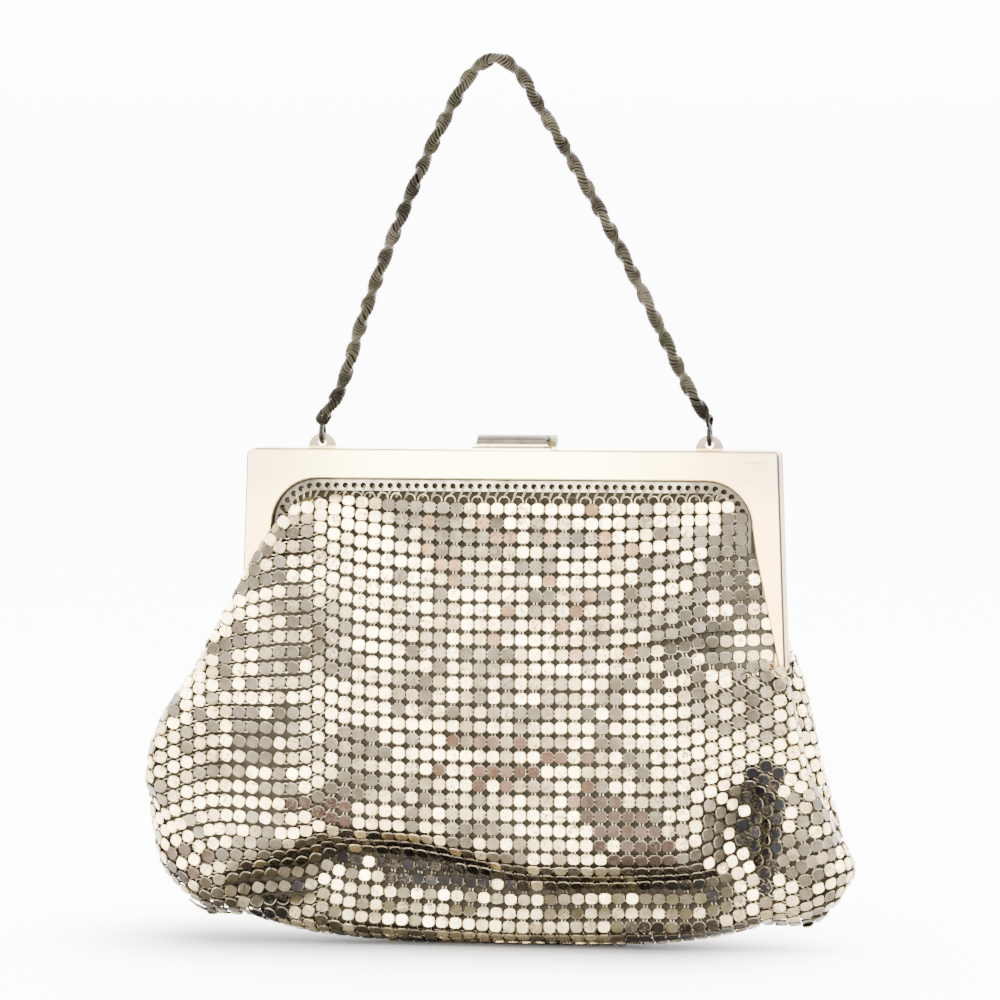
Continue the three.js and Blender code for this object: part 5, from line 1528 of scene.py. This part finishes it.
class PURSE_OT_lining(bpy.types.Operator):
    """Make the cloth lining inside the mesh"""

    bl_idname = "purse.make_lining"
    bl_label = "Make Lining"

    def execute(self, context):
        surface = unrolled(context.scene.purse_mesh)
        rings = surface["rings"][::LINING_SPARSE, ::LINING_SPARSE]
        before, after = np.roll(rings, 1, 1), np.roll(rings, -1, 1)
        up = np.concatenate([rings[:1], rings[:-1]])
        down = np.concatenate([rings[1:], rings[-1:]])
        normal = np.cross(down - up, after - before)
        normal /= np.maximum(np.linalg.norm(normal, axis=2, keepdims=True), 1e-6)
        for _ in range(LINING_EVENED):
            normal = (normal + np.roll(normal, 1, 1) + np.roll(normal, -1, 1)) / 3
            normal[1:-1] = (normal[:-2] + normal[1:-1] + normal[2:]) / 3
            normal /= np.maximum(np.linalg.norm(normal, axis=2, keepdims=True), 1e-6)
        inside = rings - normal * LINING_INWARD
        inside = inside[:int(len(inside) * LINING_KEPT)]
        reach_behind_edges(inside)
        narrow = np.clip(inside[:, :, 1], -LINING_TOP_DEPTH, LINING_TOP_DEPTH)
        flat = smooth(LINING_FLAT_FROM, LINING_FLAT_TO, inside[:, :, 2])
        inside[:, :, 1] += (narrow - inside[:, :, 1]) * flat
        rise = inside[:1].copy()
        rise[:, :, 2] = LINING_TOP
        inside = np.concatenate([rise, inside])
        levels, count, _ = inside.shape
        faces = [(k * count + i, k * count + (i + 1) % count, (k + 1) * count + (i + 1) % count,
                  (k + 1) * count + i) for k in range(levels - 1) for i in range(count)]
        faces.append(tuple((levels - 1) * count + i for i in reversed(range(count))))
        piece = mesh_object("lining_cloth", at_place(inside.reshape(-1, 3)), faces, smooth_faces=True)
        solid = piece.modifiers.new("wall", "SOLIDIFY")
        solid.thickness = LINING_THICK * MM
        solid.offset = -1.0
        piece.data.materials.append(finish_for("lining", lining_cloth))
        own(piece, "lining", "lining")
        return {"FINISHED"}


def opening_line(inset, arc_steps, foot):
    """The line a given distance inside the edge of the frame's opening, as x and z."""
    radius = INNER_CORNER - inset
    points = [(INNER_TOP_HALF + radius, foot)]
    for i in range(arc_steps + 1):
        angle = math.pi / 2 * i / arc_steps
        points.append((INNER_TOP_HALF + radius * math.cos(angle), -CORNER_DROP + radius * math.sin(angle)))
    return points + [(-x, z) for x, z in reversed(points)]


def spaced(points, pitch, bare):
    """Places a pitch apart along a line, with the line's direction there."""
    line = np.array(points)
    lengths = np.linalg.norm(np.diff(line, axis=0), axis=1)
    run = np.concatenate([[0], np.cumsum(lengths)])
    count = int(run[-1] / pitch - 2 * bare)
    start = (run[-1] - count * pitch) / 2
    found = []
    for k in range(count + 1):
        s = start + k * pitch
        x, z = np.interp(s, run, line[:, 0]), np.interp(s, run, line[:, 1])
        i = min(len(lengths) - 1, max(0, int(np.searchsorted(run, s)) - 1))
        direction = (line[i + 1] - line[i]) / lengths[i]
        found.append((x, z, direction))
    return found


# The rail's holes: their pitch, how many pitches stay bare at each end, their radius and sides
RAIL_PITCH = 1.78
RAIL_BARE = 1.5
RAIL_HOLE_RADIUS = 0.6
RAIL_HOLE_SIDES = 14

# The wire links in them: radius, half the thickness of their wire, how much longer than round they are,
# how far in and how far before the rail their middles lie, how they lean and by how much that differs,
# how far they are turned on edge and how far they tip, and the seeds of the lean and the tilt
LINK_RADIUS = 0.13
LINK_WIRE = 0.1
LINK_LONG = 2.1
LINK_FACES = (10, 5)
LINK_INWARD = 1.2
LINK_BEFORE = 0.12
LINK_LEAN = -0.42
LINK_LEAN_SPREAD = 0.1
LINK_TURN = math.pi / 2 * 0.85
LINK_TIP = -0.12
LINK_TILT = 0.08
LINK_LEAN_SEED = 3
LINK_TILT_SEED = 2


def rail_tree(name):
    """Fills an outline with round holes at the loose points, and gives it a wall."""
    nodes = geometry_nodes(name, {"Outline": "Geometry", "Hole Places": "Object", "Hole Radius": "Float",
                                  "Wall": "Float", "Finish": "Material"}, "Rail")

    def given(label):
        return nodes.make("NodeGroupInput", {}, {}, label)

    edge = nodes.make("GeometryNodeMeshToCurve", {}, {"Mesh": given("Outline")})
    places = nodes.make("GeometryNodeObjectInfo", {}, {"Object": given("Hole Places")}, "Geometry")
    holes = nodes.make("GeometryNodeInstanceOnPoints", {}, {
        "Points": nodes.make("GeometryNodeMeshToPoints", {}, {"Mesh": places}),
        "Instance": nodes.make("GeometryNodeCurvePrimitiveCircle", {},
                               {"Resolution": RAIL_HOLE_SIDES, "Radius": given("Hole Radius")})})
    holes = nodes.make("GeometryNodeRealizeInstances", {}, {"Geometry": holes})
    both = nodes.make("GeometryNodeJoinGeometry", {}, {"Geometry": [edge, holes]})
    face = nodes.make("GeometryNodeFillCurve", {}, {"Curve": both})
    wall = nodes.make("GeometryNodeExtrudeMesh", {}, {
        "Mesh": face, "Individual": False, "Offset Scale": given("Wall")})
    back = nodes.make("GeometryNodeFlipFaces", {}, {"Mesh": face})
    closed = nodes.make("GeometryNodeJoinGeometry", {}, {"Geometry": [wall, back]})
    merged = nodes.make("GeometryNodeMergeByDistance", {}, {"Geometry": closed, "Distance": 1e-6})
    return painted_result(nodes, merged, given("Finish"), "Rail")


class PURSE_OT_rails(bpy.types.Operator):
    """Make the pierced rails and the wire links that hang the mesh from them"""

    bl_idname = "purse.make_rails"
    bl_label = "Make Rails and Links"

    def execute(self, context):
        outer = opening_line(-RAIL_HIDDEN, 24, -SHOULDER_DROP)
        inner = opening_line(RAIL_SHOWN, 24, -SHOULDER_DROP)
        outline = outer + inner[::-1]
        holes = spaced(opening_line(RAIL_HOLE_INSET, 40, -SHOULDER_DROP), RAIL_PITCH, RAIL_BARE)
        for name, turned in (("front", 1), ("back", -1)):
            edge = mesh_object(f"{name}_pierced_rail", [(x * MM, z * MM, 0.0) for x, z in outline], [])
            count = len(outline)
            edge.data.edges.add(count)
            edge.data.edges.foreach_set("vertices", [v for i in range(count) for v in (i, (i + 1) % count)])
            places = mesh_object("rail_holes", [(x * MM, z * MM, 0.0) for x, z, _ in holes], [])
            run_tree(edge, rail_tree(f"{name}_rail_tree"), {
                "Hole Places": places, "Hole Radius": RAIL_HOLE_RADIUS * MM, "Wall": RAIL_WALL * MM,
                "Finish": finish_for("rail", rail_metal)})
            bpy.data.objects.remove(places)
            mesh = edge.data
            stand = Matrix.Rotation(math.pi / 2, 4, "X")
            lift = Matrix.Translation((0, -(RAIL_FRONT - RAIL_WALL) * MM, 0))
            half_turn = Matrix.Rotation(0 if turned > 0 else math.pi, 4, "Z")
            mesh.transform(Matrix.Translation(Vector(PURSE_AT * MM)) @ half_turn @ lift @ stand)
            own(edge, "rail", f"{name}_rail")
            self.add_links(name, turned, holes)
        return {"FINISHED"}

    def add_links(self, name, turned, holes):
        rng = np.random.default_rng(LINK_LEAN_SEED)
        places, turns = [], []
        for x, z, direction in holes:
            inward = np.array([direction[1], -direction[0]])
            if inward[1] > 0.3 or (abs(inward[1]) <= 0.3 and inward[0] * x > 0):
                inward = -inward
            centre = np.array([x, z]) + inward * LINK_INWARD
            lean = rng.normal(LINK_LEAN, LINK_LEAN_SPREAD)
            along = math.atan2(inward[1], inward[0]) + lean
            x_axis = Vector((math.cos(along), LINK_TIP, math.sin(along))).normalized()
            z_axis = Vector((-math.sin(along), 0.0, math.cos(along))).normalized()
            y_axis = z_axis.cross(x_axis).normalized()
            z_axis = x_axis.cross(y_axis).normalized()
            matrix = Matrix((x_axis, y_axis, z_axis)).transposed()
            matrix = matrix @ Matrix.Rotation(LINK_TURN, 3, "X")
            place = Vector((centre[0], -(RAIL_FRONT + LINK_BEFORE), centre[1]))
            if turned < 0:
                half_turn = Matrix.Rotation(math.pi, 3, "Z")
                matrix = half_turn @ matrix
                place = half_turn @ place
            places.append(tuple(place))
            turns.append(tuple(matrix.to_euler("XYZ")))
        template = ring_template("link_template", LINK_RADIUS, LINK_WIRE, *LINK_FACES, LINK_LONG)
        links = copies_of(f"{name}_rail_links", template, places, turns, LINK_TILT, LINK_TILT_SEED,
                          finish_for("link", link_metal))
        own(links, "mesh")


# The chain's links: how far they lean from straight across it, how much their turn differs, how far they
# tilt, steps round a link and sides of its wire, and the seeds of the turn and the tilt
CHAIN_LEAN_ANGLE = math.radians(56)
CHAIN_TURN_SPREAD = 0.1
CHAIN_TILT = 0.06
CHAIN_FACES = (14, 5)
CHAIN_TURN_SEED = 21
CHAIN_TILT_SEED = 9

# Points of the route between two of its places
CHAIN_STEPS = 24


def chain_route():
    """The chain's centreline, dense, in purse millimetres."""
    points = []
    for side, along, up in CHAIN_ROUTE:
        lug = side * LUG_SPACING / 2
        x = CHAIN_LEAN if side == 0 else lug + (CHAIN_LEAN - lug) * along
        points.append(Vector((x, LUG_MIDDLE * (1 - up), CHAIN_RISE * up)))
    dense = []
    extended = [points[0] * 2 - points[1]] + points + [points[-1] * 2 - points[-2]]
    for i in range(1, len(extended) - 2):
        p0, p1, p2, p3 = extended[i - 1:i + 3]
        knots = [0.0]
        for a, b in ((p0, p1), (p1, p2), (p2, p3)):
            knots.append(knots[-1] + math.sqrt((b - a).length))
        for k in range(CHAIN_STEPS):
            t = knots[1] + (knots[2] - knots[1]) * k / CHAIN_STEPS

            def between(a, b, ta, tb):
                return a * ((tb - t) / (tb - ta)) + b * ((t - ta) / (tb - ta))
            a1 = between(p0, p1, knots[0], knots[1])
            a2 = between(p1, p2, knots[1], knots[2])
            a3 = between(p2, p3, knots[2], knots[3])
            b1 = between(a1, a2, knots[0], knots[2])
            b2 = between(a2, a3, knots[1], knots[3])
            dense.append(between(b1, b2, knots[1], knots[2]))
    dense.append(points[-1])
    return np.array([tuple(p) for p in dense])


class PURSE_OT_chain(bpy.types.Operator):
    """Make the rope chain from its links"""

    bl_idname = "purse.make_chain"
    bl_label = "Make Rope Chain"

    def execute(self, context):
        settings = context.scene.purse_chain
        route = chain_route()
        run = np.concatenate([[0], np.cumsum(np.linalg.norm(np.diff(route, axis=0), axis=1))])
        count = int(run[-1] / settings.link_step)
        step = run[-1] / count
        rng = np.random.default_rng(CHAIN_TURN_SEED)
        places, turns, tints = [], [], []
        for k in range(count + 1):
            s = k * step
            place, ahead, behind = (
                np.array([np.interp(at, run, route[:, axis]) for axis in range(3)])
                for at in (s, min(s + 1.0, run[-1]), max(s - 1.0, 0.0)))
            along = Vector(ahead - behind).normalized()
            front = Vector((0, -1, 0))
            side = (front - along * along.dot(front)).normalized()
            other = along.cross(side)
            phase = k * settings.twist + rng.normal(0.0, CHAIN_TURN_SPREAD)
            tip = side * math.cos(phase) + other * math.sin(phase)
            normal = (along * math.cos(CHAIN_LEAN_ANGLE) + tip * math.sin(CHAIN_LEAN_ANGLE)).normalized()
            x_axis = (along - normal * along.dot(normal)).normalized()
            y_axis = normal.cross(x_axis)
            matrix = Matrix((x_axis, y_axis, normal)).transposed()
            places.append(place)
            turns.append(tuple(matrix.to_euler("XYZ")))
            end = min(s, run[-1] - s)
            dark = 0.45 + 0.55 * float(smooth(2.0, 15.0, end))
            tints.append((dark, dark, dark, 1.0))
        template = ring_template("chain_template", settings.link_radius, settings.wire, *CHAIN_FACES)
        chain = copies_of("rope_chain", template, places, turns, CHAIN_TILT, CHAIN_TILT_SEED,
                          finish_for("chain", chain_metal), tints)
        own(chain, "chain", "chain")
        return {"FINISHED"}


class PURSE_OT_finishes(bpy.types.Operator):
    """Give the solids of the frame, the clasp and the end rings their finishes"""

    bl_idname = "purse.finish_solids"
    bl_label = "Finish Frame and Clasp"

    def execute(self, context):
        for nodes, name, maker in (
            (("front_frame", "back_frame", "left_hinge_rivet", "right_hinge_rivet"), "frame", satin_frame),
            (("clasp_lever", "clasp_pin"), "clasp", satin_clasp),
            (("left_end_ring", "right_end_ring"), "end_ring", end_ring_metal),
        ):
            for node in nodes:
                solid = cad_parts[node]
                material = finish_for(name, maker)
                if not solid.material_slots:
                    solid.data.materials.append(material)
                for slot in solid.material_slots:
                    slot.link = "OBJECT"
                    slot.material = material
        return {"FINISHED"}


class PURSE_PT_panel(bpy.types.Panel):
    """Steps that build the purse"""

    bl_idname = "PURSE_PT_panel"
    bl_label = "Metal Mesh Purse"
    bl_space_type = "VIEW_3D"
    bl_region_type = "UI"
    bl_category = "Purse"

    def draw(self, context):
        layout = self.layout
        for operator in OPERATORS:
            layout.operator(operator.bl_idname)


OPERATORS = (PURSE_OT_stage, PURSE_OT_finishes, PURSE_OT_plates, PURSE_OT_lining, PURSE_OT_rails,
             PURSE_OT_chain)
SETTINGS = {"purse_mesh": PurseMeshSettings, "purse_chain": PurseChainSettings,
            "purse_stage": PurseStageSettings}


def register():
    for group in SETTINGS.values():
        bpy.utils.register_class(group)
    for operator in OPERATORS:
        bpy.utils.register_class(operator)
    bpy.utils.register_class(PURSE_PT_panel)
    for name, group in SETTINGS.items():
        setattr(bpy.types.Scene, name, bpy.props.PointerProperty(type=group))


def unregister():
    for name in SETTINGS:
        delattr(bpy.types.Scene, name)
    bpy.utils.unregister_class(PURSE_PT_panel)
    for operator in reversed(OPERATORS):
        bpy.utils.unregister_class(operator)
    for group in reversed(list(SETTINGS.values())):
        bpy.utils.unregister_class(group)


def main():
    register()
    for operator in OPERATORS:
        group, name = operator.bl_idname.split(".")
        getattr(getattr(bpy.ops, group), name)()


if __name__ == "__main__":
    main()
